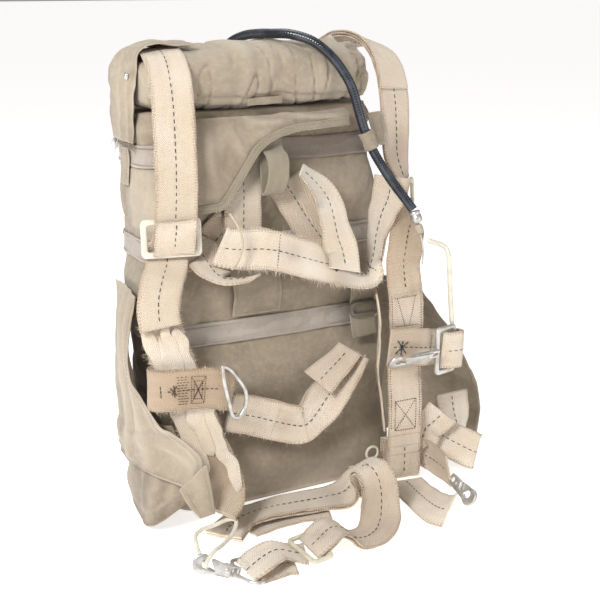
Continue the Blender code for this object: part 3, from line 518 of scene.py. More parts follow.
# Across the tape: height from its middle, and how far it stands out from the canvas.
TAPE_PROFILE = (
    (-12.5, 0.1), (-12.3, 1.5), (-9.5, 1.7), (-5.0, 1.3), (5.0, 1.3), (9.5, 1.7), (12.3, 1.5), (12.5, 0.1),
)
for number, middle in enumerate(BAND_HEIGHTS, start=1):
    bm = bmesh.new()
    wear_layer = bm.verts.layers.float.new("wear")
    soil_and_shade_layer = bm.verts.layers.float.new("soil_and_shade")
    # Painted shadow: the top tape is darkened on its front, right of the middle, where the upper flap shades
    # it.
    tape_flap_shadow = 0.6 if middle == max(BAND_HEIGHTS) else 0.0
    rings = []
    for turn in range(TAPE_AROUND):
        angle = 2 * math.pi * (turn + 0.5) / TAPE_AROUND
        ring = []
        for level, lift in TAPE_PROFILE:
            plain = pack_point(middle + level, angle, 0.0)
            out = (pack_point(middle + level, angle, 1.0) - plain).normalized()
            sag = 0.8 * ripple(Vector((plain.x, plain.y, 0.0)), 40.0, number)
            lift += 0.35 * ripple(Vector((plain.x, plain.y, level)), 14.0, number + 2.0)
            vertex = bm.verts.new((plain + out * (lift + 0.5) + Vector((0.0, 0.0, sag))) * MM)
            vertex[wear_layer] = 0.5 if abs(level) > 12.0 else 0.0
            vertex[soil_and_shade_layer] = tape_flap_shadow * ease(plain.x, -40.0, 10.0) * ease(-plain.y, -10.0, 20.0)
            ring.append(vertex)
        rings.append(ring)
    for turn in range(TAPE_AROUND):
        lower, upper = rings[turn], rings[(turn + 1) % TAPE_AROUND]
        for side in range(len(TAPE_PROFILE)):
            after = (side + 1) % len(TAPE_PROFILE)
            bm.faces.new((lower[side], upper[side], upper[after], lower[after]))
    for turn in range(2 * TAPE_AROUND):
        angle = math.pi * turn / TAPE_AROUND
        for level in (-9.0, 9.0):
            place = pack_point(middle + level, angle, 2.1)
            after = pack_point(middle + level, angle + 0.01, 2.1)
            out = (pack_point(middle + level, angle, 3.1) - place).normalized()
            add_stitch(bm, place * MM, (after - place).normalized(), out, 2.3 * MM, 0.7 * MM, 1)
    band = add_piece(f"body_tape_{number}", bm, [band_tape, grey_thread])
    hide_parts(f"band_{number}")

# Harness webs. Cream woven webbing, 45 mm wide, with a dark marker thread down its middle. Webs that
# carry load are doubled and sewn through. Cut ends and rubbed edges fray into loose threads.
def webbing_finish(name, lit, mid, shade):
    """Twill webbing on the piece's own map: U runs across and V along, both in metres."""
    finish, tree, shader = shader_of(name)
    flat = node(tree, "TexCoord").outputs["UV"]
    parts = node(tree, "SeparateXYZ", {}, Vector=flat).outputs
    across, along = parts[0], parts[1]
    slant = sums(tree, "PINGPONG", across, 0.0056)
    twill = sums(tree, "SINE", sums(tree, "MULTIPLY", sums(tree, "ADD", along, slant), 2 * math.pi / 0.0026))
    rib = sums(tree, "SINE", sums(tree, "MULTIPLY", across, 2 * math.pi / 0.0014))
    threads = sums(tree, "MULTIPLY_ADD", twill, 0.5, sums(tree, "MULTIPLY", rib, 0.2))
    place = object_place(tree)
    fuzz = speckle(tree, 700.0, 4.0, 0.75, place)
    cloud = speckle(tree, 26.0, 5.0, 0.6, place, 0.3)
    base = graded(tree, cloud, mid, lit, 0.33, 0.62)
    patch = graded(tree, speckle(tree, 11.0, 3.0, 0.5, place), (0.0, 0.0, 0.0), (0.4, 0.4, 0.4), 0.48, 0.68)
    base = tinted(tree, base, patch, mid)
    # Where the tan attribute is set, the web is tinted to a dark tan: partly real tan discolouring, partly
    # painted shade.
    aged_and_shaded = tuple(0.30 * a + 0.70 * b for a, b in zip(mid, shade))
    base = tinted(tree, base, attribute(tree, "tan"), aged_and_shaded)
    base = tinted(tree, base, graded(tree, fuzz, (0.0, 0.0, 0.0), (0.30, 0.30, 0.30), 0.50, 0.78), shade)
    fleck = speckle(tree, 300.0, 5.0, 0.8, place)
    base = tinted(tree, base, graded(tree, fleck, (0.0, 0.0, 0.0), (0.30, 0.30, 0.30), 0.52, 0.76), shade)
    base = tinted(tree, base, ramp(tree, threads, 0.0, -0.62, 0.0, 0.50), shade)
    edge = ramp(tree, sums(tree, "ABSOLUTE", across), 0.0180, 0.0195)
    knots = sums(tree, "SINE", sums(tree, "MULTIPLY", along, 2 * math.pi / 0.0030))
    dots = ramp(tree, knots, 0.2, 0.8, 0.0, 0.42)
    base = tinted(tree, base, sums(tree, "MULTIPLY", edge, dots), shade)
    rim = ramp(tree, sums(tree, "ABSOLUTE", across), 0.0202, 0.0226, 0.0, 0.62)
    base = tinted(tree, base, rim, shade)
    # Darkened by the soil_and_shade attribute, which on the webs holds only real stains.
    base = tinted(tree, base, sums(tree, "MULTIPLY", attribute(tree, "soil_and_shade"), 0.85), (0.16, 0.085, 0.045))
    height = sums(tree, "MULTIPLY_ADD", fuzz, 0.8, threads)
    height = sums(tree, "ADD", height, sums(tree, "MULTIPLY", edge, sums(tree, "MULTIPLY", knots, 0.6)))
    rumple = bumped(tree, speckle(tree, 75.0, 3.0, 0.5, place), 0.5, 0.0022)
    fill(tree, shader, {
        "Base Color": base,
        "Normal": bumped(tree, height, 0.95, 0.0009, rumple),
        "Roughness": 0.9,
        "Specular IOR Level": 0.2,
        "Sheen Weight": 0.35,
        "Sheen Roughness": 0.5,
    })
    return finish


webbing = webbing_finish("cream_webbing", (0.96, 0.89, 0.76), (0.87, 0.745, 0.58), (0.40, 0.27, 0.165))
marker_thread = thread_finish("marker_thread", (0.045, 0.045, 0.055))
brown_thread = thread_finish("brown_thread", (0.12, 0.065, 0.04))
cream_thread = thread_finish("cream_thread", (0.62, 0.52, 0.38))
WEB_STEP = 3.0
PROFILE = ((-1.0, 0.2), (-0.985, 0.75), (-0.93, 1.05), (-0.84, 0.95), (-0.5, 1.0), (0.0, 1.0))
PROFILE += tuple((-u, h) for u, h in reversed(PROFILE[:-1]))


def web_frames(rows):
    """Middle, run, width and outward directions of a web, evenly spaced along its route."""
    values = [blend_rows(rows, place) for place in even_places(rows, WEB_STEP)[0]]
    middles = [Vector(value[:3]) for value in values]
    frames = []
    for number, value in enumerate(values):
        ahead = middles[min(number + 1, len(middles) - 1)] - middles[max(number - 1, 0)]
        ahead.normalize()
        yaw, pitch = math.radians(value[3]), math.radians(value[4])
        across = Vector((math.cos(yaw) * math.cos(pitch), math.sin(yaw) * math.cos(pitch), math.sin(pitch)))
        across = (across - ahead * across.dot(ahead)).normalized()
        frames.append((middles[number], ahead, across, ahead.cross(across)))
    return frames


def on_web(frames, along, across, lift):
    """Place and directions at a distance along a web and across it, in millimetres."""
    place = min(max(along / WEB_STEP, 0.0), len(frames) - 1.001)
    index = int(place)
    share = place - index
    first, second = frames[index], frames[index + 1]
    middle, ahead, width, out = [a.lerp(b, share) for a, b in zip(first, second)]
    return middle + width.normalized() * across + out.normalized() * lift, ahead, width, out


def sew(bm, frames, start, end, lift, pitch, width, index, cover=0.62):
    """A row of stitches between two places on a web, each given as along and across."""
    start, end = Vector(start), Vector(end)
    count = max(1, round((end - start).length / pitch))
    for number in range(count):
        low = start.lerp(end, number / count)
        high = start.lerp(end, (number + cover) / count)
        first = on_web(frames, low.x, low.y, lift)
        second = on_web(frames, high.x, high.y, lift)
        run = second[0] - first[0]
        if run.length > 0.05:
            middle, out = (first[0] + second[0]) / 2, first[3].normalized() * (1 if lift > 0 else -1)
            add_stitch(bm, middle * MM, run.normalized(), out, run.length * MM, width * MM, index)


def sew_lines(bm, frames, lines, *look):
    """Several rows of stitches that look alike."""
    for first, second in lines:
        sew(bm, frames, first, second, *look)


def sew_edges(bm, frames, start, end, across, *look):
    """A row of stitches along each edge of a web."""
    sew_lines(bm, frames, [((start, side), (end, side)) for side in (-across, across)], *look)


def add_ribbon(
    bm, frames, width, thickness, lift=0.0, shift=0.0, start=0, end=None,
    seed=0.0, cup=0.0, soils=(), tans_and_shades=((0, 0),), taper=0.0,
):
    """Skin one layer of web. Its edges waver a little, and its face is never quite flat."""
    flat = bm.loops.layers.uv.verify()
    soil_and_shade_layer = bm.verts.layers.float.get("soil_and_shade") or bm.verts.layers.float.new("soil_and_shade")
    tan_and_shade_layer = bm.verts.layers.float.get("tan") or bm.verts.layers.float.new("tan")
    used = frames[start:end]
    corners = [(u, h) for u, h in PROFILE] + [(u, -h) for u, h in reversed(PROFILE)]
    rings = []
    for number, (middle, ahead, across, out) in enumerate(used):
        along = (start + number) * WEB_STEP
        waver = (0.5 + 1.6 * taper) * ripple(Vector((along, seed, 0.0)), 30.0 - 14.0 * taper, seed)
        full = 1.0 - taper * math.exp(-min(number, len(used) - 1 - number) / 2.0)
        ring = []
        # The tan share along the web: part real tan discolouring, part painted shade.
        tan = tans_and_shades[0][1]
        for (low, low_tan_and_shade), (high, high_tan_and_shade) in zip(tans_and_shades, tans_and_shades[1:]):
            if along > low:
                tan = low_tan_and_shade + (high_tan_and_shade - low_tan_and_shade) * min((along - low) / (high - low), 1.0)
        for u, h in corners:
            side = u * width / 2 * full + waver + shift
            side += 0.35 * u * ripple(Vector((along, u, 0.0)), 12.0, seed + 2)
            rise = h * thickness / 2 + lift * full + cup * (u * u - 0.4)
            rise += 0.45 * ripple(Vector((along, u * 22.0, 0.0)), 19.0, seed + 5)
            vertex = bm.verts.new((middle + across * side + out * rise) * MM)
            vertex.co.z = max(vertex.co.z, 0.0004)
            level = 0.0
            for at, beside, size, strength in soils:
                gap = math.hypot(along - at, side - beside) / size
                level = max(level, strength * math.exp(-gap * gap))
            vertex[soil_and_shade_layer] = level
            vertex[tan_and_shade_layer] = tan
            ring.append(vertex)
        rings.append(ring)
    count = len(corners)
    for number, (lower, upper) in enumerate(zip(rings, rings[1:])):
        near = (start + number) * WEB_STEP * MM
        far = near + WEB_STEP * MM
        for side in range(count):
            after = (side + 1) % count
            face = bm.faces.new((lower[side], lower[after], upper[after], upper[side]))
            u0, u1 = corners[side][0] * width / 2 * MM, corners[after][0] * width / 2 * MM
            for loop, place in zip(face.loops, ((u0, near), (u1, near), (u1, far), (u0, far))):
                loop[flat].uv = place
    bm.faces.new(list(reversed(rings[0])))
    bm.faces.new(rings[-1])


FRAY_THICKNESS = 0.32


def fray(bm, frames, start, end, count, length, seed):
    """Loose threads along a line on a web, each a fine curled strand."""
    dice = random.Random(seed)
    start, end = Vector(start), Vector(end)
    for number in range(count):
        at = start.lerp(end, dice.random())
        root, ahead, across, out = on_web(frames, at.x, at.y, dice.uniform(-1.0, 1.0))
        edge = end - start
        if abs(edge.x) > abs(edge.y):
            away = across * math.copysign(1.0, at.y)
        else:
            away = ahead * (1.0 if at.x > len(frames) * WEB_STEP / 2 else -1.0)
        reach = length * dice.uniform(0.35, 1.0)
        lean = Vector((dice.uniform(-1, 1), dice.uniform(-1, 1), dice.uniform(-1, 0.6)))
        bend = Vector((dice.uniform(-1, 1), dice.uniform(-1, 1), dice.uniform(-1, 1)))
        points = []
        for step in range(4):
            far = step / 3
            curl = bend * 0.35 * reach * far * far
            points.append((root + (away + 0.5 * lean) * reach * far + curl - away * 0.6) * MM)
        add_tube(bm, points, [FRAY_THICKNESS * MM * (1.0 - 0.25 * step) / 2 for step in range(4)], sides=3)


def box_cross(bm, frames, start, end, half, lift, index, pitch, width):
    """A sewn box with a cross in it."""
    corners = ((start, -half), (start, half), (end, half), (end, -half))
    lines = list(zip(corners, corners[1:] + corners[:1]))
    lines += [(corners[0], corners[2]), (corners[1], corners[3])]
    sew_lines(bm, frames, lines, lift, pitch, width, index)


WEBBING_WIDTH = 45.0
EDGE_WEB_WIDTH = 22.0
# The route of each web: x, y, z, then the yaw and pitch of its width.
WEBS = {
    "riser_left": (
        (-106, 93, 455, 0, 0), (-106, 91, 478, 0, 0), (-106, 82, 497, 0, 2), (-108, 60, 509, -2, 6),
        (-111, 30, 512, -5, 6), (-115, 2, 511, -8, 6), (-118, -20, 505, -10, 4), (-121, -38, 491, -13, 2),
        (-123, -50, 470, -14, 0), (-124, -56, 448, -14, 0), (-125, -60, 415, -14, 0),
        (-127, -65, 380, -14, 0), (-131, -71, 350, -14, 0), (-133, -72, 334, -14, 0),
        (-135, -68, 318, -14, 0), (-137, -60, 303, -14, 0), (-142, -67, 291, -14, 0),
        (-152, -79, 279, -16, 0), (-160, -87, 262, -18, 0), (-162, -91, 245, -18, 0),
        (-161, -94, 232, -18, 0),
    ),
    "lift_left": (
        (-148, -70, 277, -14, 0), (-155, -78, 262, -16, 0), (-158, -82, 245, -18, 0),
        (-157, -85, 225, -20, 0), (-152, -90, 205, -22, 0), (-147, -96, 185, -24, 0),
        (-141, -102, 162, -24, 0), (-132, -107, 138, -22, 0), (-124, -112, 105, -20, 0),
        (-114, -120, 78, -18, 0), (-110, -132, 60, -16, 0), (-116, -145, 47, -16, 0),
        (-128, -154, 41, -18, 0),
    ),
    "chest_wrap_left": (
        (-112, -93, 158, 0, 88), (-140, -83, 162, 0, 88), (-163, -78, 164, 0, 88), (-174, -84, 165, 0, 88),
        (-176, -96, 166, 0, 88), (-167, -109, 167, 0, 88), (-143, -118, 168, 0, 88),
        (-118, -122, 166, 0, 86), (-104, -124, 163, 0, 84), (-93, -124, 160, 0, 82),
    ),
    "riser_right": (
        (136, 95, 466, 0, 0), (137, 93, 486, 0, 0), (140, 81, 505, 0, 0), (146, 58, 514, 2, -14),
        (153, 36, 516, 4, -20), (160, 16, 511, 6, -20), (165, -2, 500, 8, -14), (168, -17, 481, 10, -6),
        (168, -27, 452, 10, 0), (166, -35, 418, 12, 0), (164, -41, 386, 20, 0), (167, -47, 366, 34, 0),
        (171, -50, 354, 44, 0),
    ),
    "main_right": (
        (163, -80, 318, 24, 0), (153, -88, 308, 10, 0), (145, -96, 297, 2, 0), (138, -103, 284, -2, 0),
        (134, -106, 268, -4, 0), (136, -110, 233, -4, 0), (137, -112, 194, -4, 0), (134, -114, 144, -4, 0),
        (136, -115, 102, -4, 0), (135, -117, 58, -4, 0), (134, -119, 26, -4, 0), (134, -117, 8, -4, 0),
        (135, -109, 3, -4, 0), (136, -101, 9, -4, 0), (137, -98, 26, -4, 0), (138, -97, 52, -4, 0),
    ),
    "edge_web": (
        (108, -90, 236, 61, 0), (112, -93, 194, 61, 0), (107, -98, 140, 61, 0), (114, -98, 100, 61, 0),
        (118, -98, 66, 61, 0),
    ),
    "back_vertical": (
        (-36, -32, 412, 0, 0), (-38, -37, 392, 0, 0), (-41, -48, 362, 0, 0), (-45, -55, 330, 0, 0),
        (-48, -62, 304, 0, 0), (-48, -66, 290, 0, 0),
    ),
    "back_cross": (
        (-84, -79, 309, 60, 92), (-76, -81, 306, 60, 86), (-60, -88, 304.5, 60, 78),
        (-42, -92, 304, 60, 72), (-20, -93, 299, 58, 66), (8, -94, 289, 55, 60), (33, -95, 280, 54, 54),
        (60, -95, 271, 54, 46), (82, -91, 260, 56, 14), (98, -87, 257, 64, 8), (109, -79, 267, 75, -3),
        (115, -76, 284, 80, -8), (120, -72, 301, 88, -8), (128, -70, 324, 106, -7),
        (135, -69, 336, 118, -5), (140, -67, 350, 124, -4), (144, -65, 364, 128, -2),
    ),
    "back_diagonal_rear": (
        (8, -52, 368, 0, 32), (20, -57, 346, 0, 38), (33, -62, 323, 0, 38), (48, -68, 301, 0, 40),
        (62, -74, 286, 0, 40),
    ),
    "back_diagonal_front": (
        (19, -72, 383, 50, 0), (30, -77, 371, 40, 0), (45, -80, 353, 24, 0), (51, -83, 336, 18, 0),
        (54, -87, 316, 16, 0), (57, -88, 303, 8, -2), (61, -90, 291, 4, -10), (61, -95, 280, 2, -19),
        (59, -101, 270, 2, -19),
    ),
    "left_loop": (
        (-77, -46, 306, 0, 135), (-71, -47, 313, 0, 135), (-66, -48, 318, 0, 135), (-57, -49, 326, 0, 135),
    ),
    "free_strap": (
        (-115, -53, 301, 10, 44), (-99, -60, 298, 30, 36), (-95, -80, 284, 46, 16), (-91, -92, 278, 53, 3),
        (-83, -96, 275, 64, -5), (-66, -97, 274, 62, -8), (-55, -96, 276, 64, -8),
    ),
    "waist_front": (
        (-90, -106, 128, 180, 100), (-64, -107, 120, 180, 102), (-43, -110, 112, 180, 104),
        (-19, -113, 103, 180, 102), (0, -115, 99, 180, 92), (15, -114, 110, 160, 66),
        (30, -112, 125, 130, 40), (47, -110, 141, 108, 16), (61, -109, 154, 96, 4), (72, -107, 169, 92, 0),
    ),
    "waist_rear": (
        (23, -104, 142, 112, 20), (38, -104, 154, 104, 12), (52, -104, 165, 98, 6), (65, -104, 177, 94, 2),
    ),
    "chest_web_right": (
        (108, -121, 177, 0, 88), (135, -122, 173, 0, 88), (158, -120, 168, 0, 88), (172, -117, 166, 0, 88),
        (186, -115, 163, 0, 88), (199, -115, 161, 0, 88), (207, -118, 161, 0, 88), (209, -124, 161, 0, 88),
        (206, -129.5, 161, 0, 88), (198, -131.5, 162, 0, 88), (188, -130, 162, 0, 88),
        (178, -127, 163, 0, 88),
    ),
    "leg_strap_right": (
        (229, -80, 86, -10, -16), (230, -84, 66, -8, -16), (232, -90, 46, -5, -30), (235, -102, 33, 0, -62),
        (234, -120, 27, 0, -88), (229, -136, 26, 0, -104), (219, -132, 31, 0, -114),
        (207, -119, 38, 0, -118), (196, -108, 45, 0, -120), (184, -101, 54, 0, -120),
    ),
    "leg_fold_right": (
        (188, -120, 80, -25, -30), (180, -114, 69, -25, -30), (172, -109, 60, -25, -30),
        (166, -110, 49, -20, -34), (161, -110, 36, -15, -46), (163, -112, 30, -10, -66),
        (167, -123, 29, -8, -80), (167, -138, 29, -4, -82), (165, -155, 29, 0, -80),
        (163, -170, 28, 0, -76),
    ),
    "leg_tail_right": (
        (134, -122, 3, 8, 0), (131, -138, 4, 12, 0), (127, -156, 5, 16, 3), (122, -182, 7, 20, 8),
        (118, -205, 10, 24, 16), (117, -222, 13, 26, 26), (119, -234, 17, 28, 38),
    ),
    "saddle_strap": (
        (87, -104, 28, 0, 0), (86, -106, 17, -6, 0), (82, -112, 7, -30, 0), (74, -119, 2.4, -55, 0),
        (62, -126, 2.2, -62, 0),
    ),
    "leg_front_left": (
        (-76, -232, 2, 95, 0), (-92, -228, 2, 95, 0), (-110, -229, 2, 94, 0), (-124, -231, 2.6, 92, 0),
        (-131, -231, 7, 91, 0), (-124, -231, 11.4, 92, 0), (-110, -226, 14.5, 94, 0),
        (-92, -222, 16, 92, 0), (-78, -226, 12, 88, 0), (-68, -231, 9.6, 88, 0), (-63, -233, 9.4, 88, 0),
    ),
    "leg_strap_left": (
        (-61, -236, 15.5, 90, 0), (-56, -236, 20, 90, 0), (-48, -234, 23.4, 92, 0), (-38, -229, 26, 94, 0),
        (-26, -224, 26.5, 92, 0), (-12, -222, 20, 88, 0), (0, -224, 8, 86, 0), (16, -222, 3, 96, 0),
        (34, -214, 3, 118, 0), (48, -202, 8, 146, 0), (54, -194, 20, 168, 0), (56, -189, 36, 178, 0),
        (55, -184, 50, 182, 0), (52, -175, 59, 186, 0), (49, -165, 58, 198, -4), (48, -155, 45, 226, -12),
        (44, -147, 28, 254, -18), (36, -140, 17, 260, -12), (20, -134, 13, 256, -6),
        (-2, -130, 12, 250, -4), (-28, -127, 12, 248, 0), (-57, -127, 13, 248, 3), (-87, -130, 12, 256, 3),
        (-104, -138, 9, 282, 2), (-120, -150, 7, 300, 0),
    ),
    "leg_under_left": (
        (-90, -141, 3, 72, 0), (-70, -138, 3, 78, 0), (-40, -135, 3, 86, 0), (-10, -139, 3, 94, 0),
        (14, -147, 3, 104, 0),
    ),
}

# How far the further layers of a doubled web lie from the first one.
WEB_LAYERS = {
    "riser_left": (-2.9,),
    "lift_left": (-2.9, 2.8),
    "riser_right": (-2.9, 2.9),
    "main_right": (-2.9,),
    "waist_front": (-2.8,),
    "back_cross": (-2.8,),
    "leg_strap_left": (-2.9,),
    "chest_wrap_left": (-2.8,),
}
# Stains: along, across, size, strength.
WEB_STAINS = {
    "back_cross": ((84, 2, 12, 0.35), (150, -14, 16, 0.4), (30, 4, 10, 0.3)),
    "main_right": ((8, -4, 9, 0.5), (96, 14, 8, 0.35), (200, 19, 6, 0.6), (150, -8, 10, 0.3)),
    "waist_front": ((70, 0, 14, 0.35), (150, 5, 20, 0.3)),
    "lift_left": ((150, 10, 14, 0.4), (215, -6, 16, 0.5), (60, 8, 18, 0.25)),
    "chest_wrap_left": ((130, 2, 14, 0.3),),
    "leg_strap_left": ((20, 0, 10, 0.35), (120, -6, 16, 0.25), (260, 0, 22, 0.3)),
    "leg_front_left": ((46, 4, 8, 0.6),),
    "riser_right": ((250, 0, 20, 0.35),),
    "chest_web_right": ((96, 0, 10, 0.3),),
}
# How tan a web is drawn: distance along, and a share from 0 to 1. The share is partly the web's own tan
# discolouring and partly painted shade on webs and folds that lie in shadow, such as the wrap, the rear layers
# and the end of leg_fold_right.
WEB_TANS_AND_SHADES = {
    "riser_left": ((0, 0.05), (90, 0.1), (160, 0.3), (330, 0.4)),
    "lift_left": ((0, 0.35), (100, 0.45), (190, 0.8)),
    "chest_wrap_left": ((0, 0.9), (60, 1.15)),
    "riser_right": ((0, 0.25), (140, 0.35), (260, 0.5)),
    "chest_web_right": ((0, 0.75), (35, 0.65), (60, 0.15)),
    "main_right": ((0, 1.0), (60, 0.9), (120, 0.45), (200, 0.4), (300, 0.2)),
    "edge_web": ((0, 0.5), (10, 0.5)),
    "left_loop": ((0, 0.6), (10, 0.6)),
    "free_strap": ((0, 0.55), (60, 0.2)),
    "back_cross": ((0, 0.0), (200, 0.0), (250, 0.15), (300, 0.4)),
    "back_diagonal_rear": ((0, 0.35), (10, 0.35)),
    "back_vertical": ((0, 0.35), (10, 0.35)),
    "waist_front": ((0, 0.25), (80, 0.1), (200, 0.35)),
    "waist_rear": ((0, 0.5), (10, 0.5)),
    "saddle_strap": ((0, 0.35), (10, 0.35)),
    "leg_strap_left": ((0, 0.4), (60, 0.45), (100, 0.6), (165, 0.55), (195, 0.1), (250, 0.25)),
    "leg_fold_right": ((0, 0.1), (60, 0.3), (90, 0.8)),
    "leg_under_left": ((0, 0.3), (10, 0.3)),
}
# Where the marker thread shows, in millimetres along, on webs that hide it in part.
MARKER_RUNS = {
    "main_right": ((14, 94), (288, 322)),
    "chest_wrap_left": ((20, 60),),
    "lift_left": ((4, 50),),
    "edge_web": (),
    "left_loop": ((2, 26),),
}
web_pieces = {}
for number, (name, rows) in enumerate(WEBS.items()):
    frames = web_frames(rows)
    width = EDGE_WEB_WIDTH if name == "edge_web" else WEBBING_WIDTH
    lifts = WEB_LAYERS.get(name, ())
    total = (len(frames) - 1) * WEB_STEP
    bm = bmesh.new()
    tans_and_shades = WEB_TANS_AND_SHADES.get(name, ((0, 0),))
    add_ribbon(bm, frames, width, 2.4, seed=number + 0.5, cup=0.5, soils=WEB_STAINS.get(name, ()), tans_and_shades=tans_and_shades)
    for layer, lift in enumerate(lifts):
        start, end = 0, None
        if name == "lift_left" and lift > 0:
            start, end = 0, 16
        if name == "riser_right" and lift > 0:
            start, end = 0, 62
        add_ribbon(
            bm, frames, width - 1.4, 2.3, lift=lift, shift=1.1 * (-1) ** layer, start=start, end=end,
            seed=number + 7.5, cup=0.4, tans_and_shades=tans_and_shades,
        )
    for start, end in MARKER_RUNS.get(name, ((5, total - 5),)):
        for face in (1.25, min((0.0,) + lifts) - 1.25):
            sew(bm, frames, (start, 0), (end, 0), face, 7.6, 1.1, 1)
    piece = add_piece("web_" + name, bm, [webbing, marker_thread, brown_thread, cream_thread])
    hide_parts(name)
    web_pieces[name] = piece

# Sewing and fraying on the webs. Doubled webs are sewn through in boxes and crosses, and the rubbed
# ends of the cross strap, the left web and the waist strap have come apart into loose threads.
def web_detail(name, task):
    """Add threads to a finished web: they are made in its own mesh."""
    piece = web_pieces[name]
    bm = bmesh.new()
    bm.from_mesh(piece.data)
    task(bm, web_frames(WEBS[name]))
    for vertex in bm.verts:
        vertex.co.z = max(vertex.co.z, 0.0003)
    bm.to_mesh(piece.data)
    bm.free()


def sew_main(bm, frames):
    box_cross(bm, frames, 229, 266, 14, 1.3, 2, 3.0, 1.1)
    wedge = ((103, -15), (103, 15)), ((103, -12), (137, -3)), ((103, 12), (137, 3)), ((137, -16), (137, 16))
    sew_lines(bm, frames, wedge, 1.3, 2.8, 0.9, 2)
    sew_edges(bm, frames, 99, 264, 19, 1.3, 3.0, 0.9, 2)
    sew(bm, frames, (160, -20), (160, 20), 1.4, 5.5, 1.4, 1, 0.7)
    star = ((153, -11), (169, 3)), ((153, 3), (169, -11)), ((161, -13), (161, 6)), ((155, -5), (168, -3))
    sew_lines(bm, frames, star, 1.8, 5.0, 1.5, 1, 0.92)
    across = [((along, -20), (along, 20)) for along in (98, 101, 272, 286, 296)]
    sew_lines(bm, frames, across, 1.5, 2.2, 1.0, 3)
    fray(bm, frames, (20, 22), (300, 22), 130, 4.0, 41)
    fray(bm, frames, (60, -22), (300, -22), 60, 3.0, 42)


def sew_wrap(bm, frames):
    total = (len(frames) - 1) * WEB_STEP
    for row in range(11):
        across = -15 + 3 * row
        sew(bm, frames, (111 + row % 2, across), (122 + row % 3, across), 1.4, 3.6, 1.0, 2, 0.85)
    box_cross(bm, frames, 126, 141, 15, 1.4, 2, 2.4, 1.1)
    box_cross(bm, frames, 129, 138, 10, 1.4, 2, 2.4, 1.0)
    sew(bm, frames, (101, 0), (157, 1), 1.7, 5.0, 1.2, 1, 0.7)
    sew(bm, frames, (94, -7), (94, 7), 1.5, 5.0, 1.2, 1, 0.9)
    star = ((105, -4), (111, 6)), ((104, 4), (111, -5)), ((108, -7), (108, 7))
    sew_lines(bm, frames, star, 1.7, 4.0, 1.4, 2, 0.95)
    sew_edges(bm, frames, 84, total - 4, 19.5, 1.4, 3.6, 0.8, 3)
    fray(bm, frames, (84, -22), (total - 5, -22), 90, 6.0, 5)
    fray(bm, frames, (100, 22), (total - 5, 22), 60, 5.0, 7)
    fray(bm, frames, (total, -20), (total, 20), 40, 4.0, 6)


def sew_cross(bm, frames):
    fray(bm, frames, (20, 22), (200, 22), 130, 4.5, 8)
    fray(bm, frames, (20, -22), (205, -22), 220, 6.0, 9)
    yarn = ((-81, -98, 348), (-72, -100, 332), (-68, -101, 314), (-73, -101, 297), (-81, -100, 287))
    places = even_places(yarn, 2.0)[0]
    line = [Vector(blend_rows(yarn, place)) * MM for place in places]
    add_tube(bm, line, [1.25 * MM] * len(line), sides=8, index=3)
    star = ((140, -6), (144, -2)), ((139, -3), (145, -5)), ((141, -7), (143, -1))
    sew_lines(bm, frames, star, 1.6, 4.0, 1.8, 1, 0.95)
    sew_edges(bm, frames, 12, 230, 19, 1.35, 3.6, 0.7, 3)
    sew(bm, frames, (66, -20), (66, 20), 1.35, 3.2, 1.0, 2)
    sew(bm, frames, (196, -12), (214, 12), 1.35, 3.4, 1.1, 2)


def sew_lift(bm, frames):
    # Torn strips: width, shift across, lift, first and last frame.
    strips = (
        (17, -13, 3.4, 16, 40), (11, -3, 5.0, 20, 42), (12, 5, 4.6, 15, 39), (13, 15, 3.2, 18, 41),
        (19, -13, 4.0, 41, 75), (15, 2, 6.0, 42, 70), (15, 14, 4.2, 41, 84), (10, -4, 7.2, 43, 60),
    )
    for number, (width, shift, lift, start, end) in enumerate(strips):
        tans_and_shades = ((0, 0.1 + 0.12 * (number % 3)), (10, 0.1))
        add_ribbon(
            bm, frames, width, 2.2, lift=lift, shift=shift, start=start, end=end,
            seed=60.0 + number, cup=-1.4, tans_and_shades=tans_and_shades, taper=0.95,
        )
        for side in (-0.5, 0.5):
            edge = shift + side * width
            fray(bm, frames, (start * WEB_STEP, edge), (end * WEB_STEP, edge), 70, 4.0, 70 + number)
    fray(bm, frames, (54, -20), (54, 20), 90, 7.0, 12)
    fray(bm, frames, (0, 22), (230, 22), 110, 4.5, 13)
    fray(bm, frames, (60, -22), (250, -22), 150, 6.0, 14)


def sew_waist(bm, frames):
    fray(bm, frames, (0, -22), (140, -22), 60, 5.0, 15)
    fray(bm, frames, (110, 22), (200, 22), 40, 4.0, 16)
    total = (len(frames) - 1) * WEB_STEP
    fray(bm, frames, (total, -20), (total, 20), 30, 6.0, 17)
    sew_lines(bm, frames, [((along, -18), (along, 18)) for along in (58, 96)], 1.3, 3.0, 0.8, 3)


def sew_riser(bm, frames):
    fold = (
        (-134, -78, 340, -14, 0), (-134.5, -80.5, 338, -14, 0), (-135, -79.5, 330, -14, 0),
        (-135, -76.5, 320, -14, 0), (-135, -74, 309, -14, 0), (-135, -70.5, 304, -14, 0),
        (-134.5, -66, 305, -14, 0),
    )
    doubled = web_frames(fold)
    add_ribbon(bm, doubled, 44.0, 2.3, seed=44.0, cup=0.6, tans_and_shades=((0, 0.3), (12, 0.15), (30, 0.3)))
    sew(bm, doubled, (4, 0), (32, 0), 1.3, 7.6, 1.1, 1)
    sew_edges(bm, frames, 40, 320, 19.5, 1.3, 4.2, 0.7, 3)
    fray(bm, frames, (60, 22), (330, 22), 50, 3.5, 18)
    fray(bm, frames, (60, -22), (330, -22), 50, 3.5, 19)


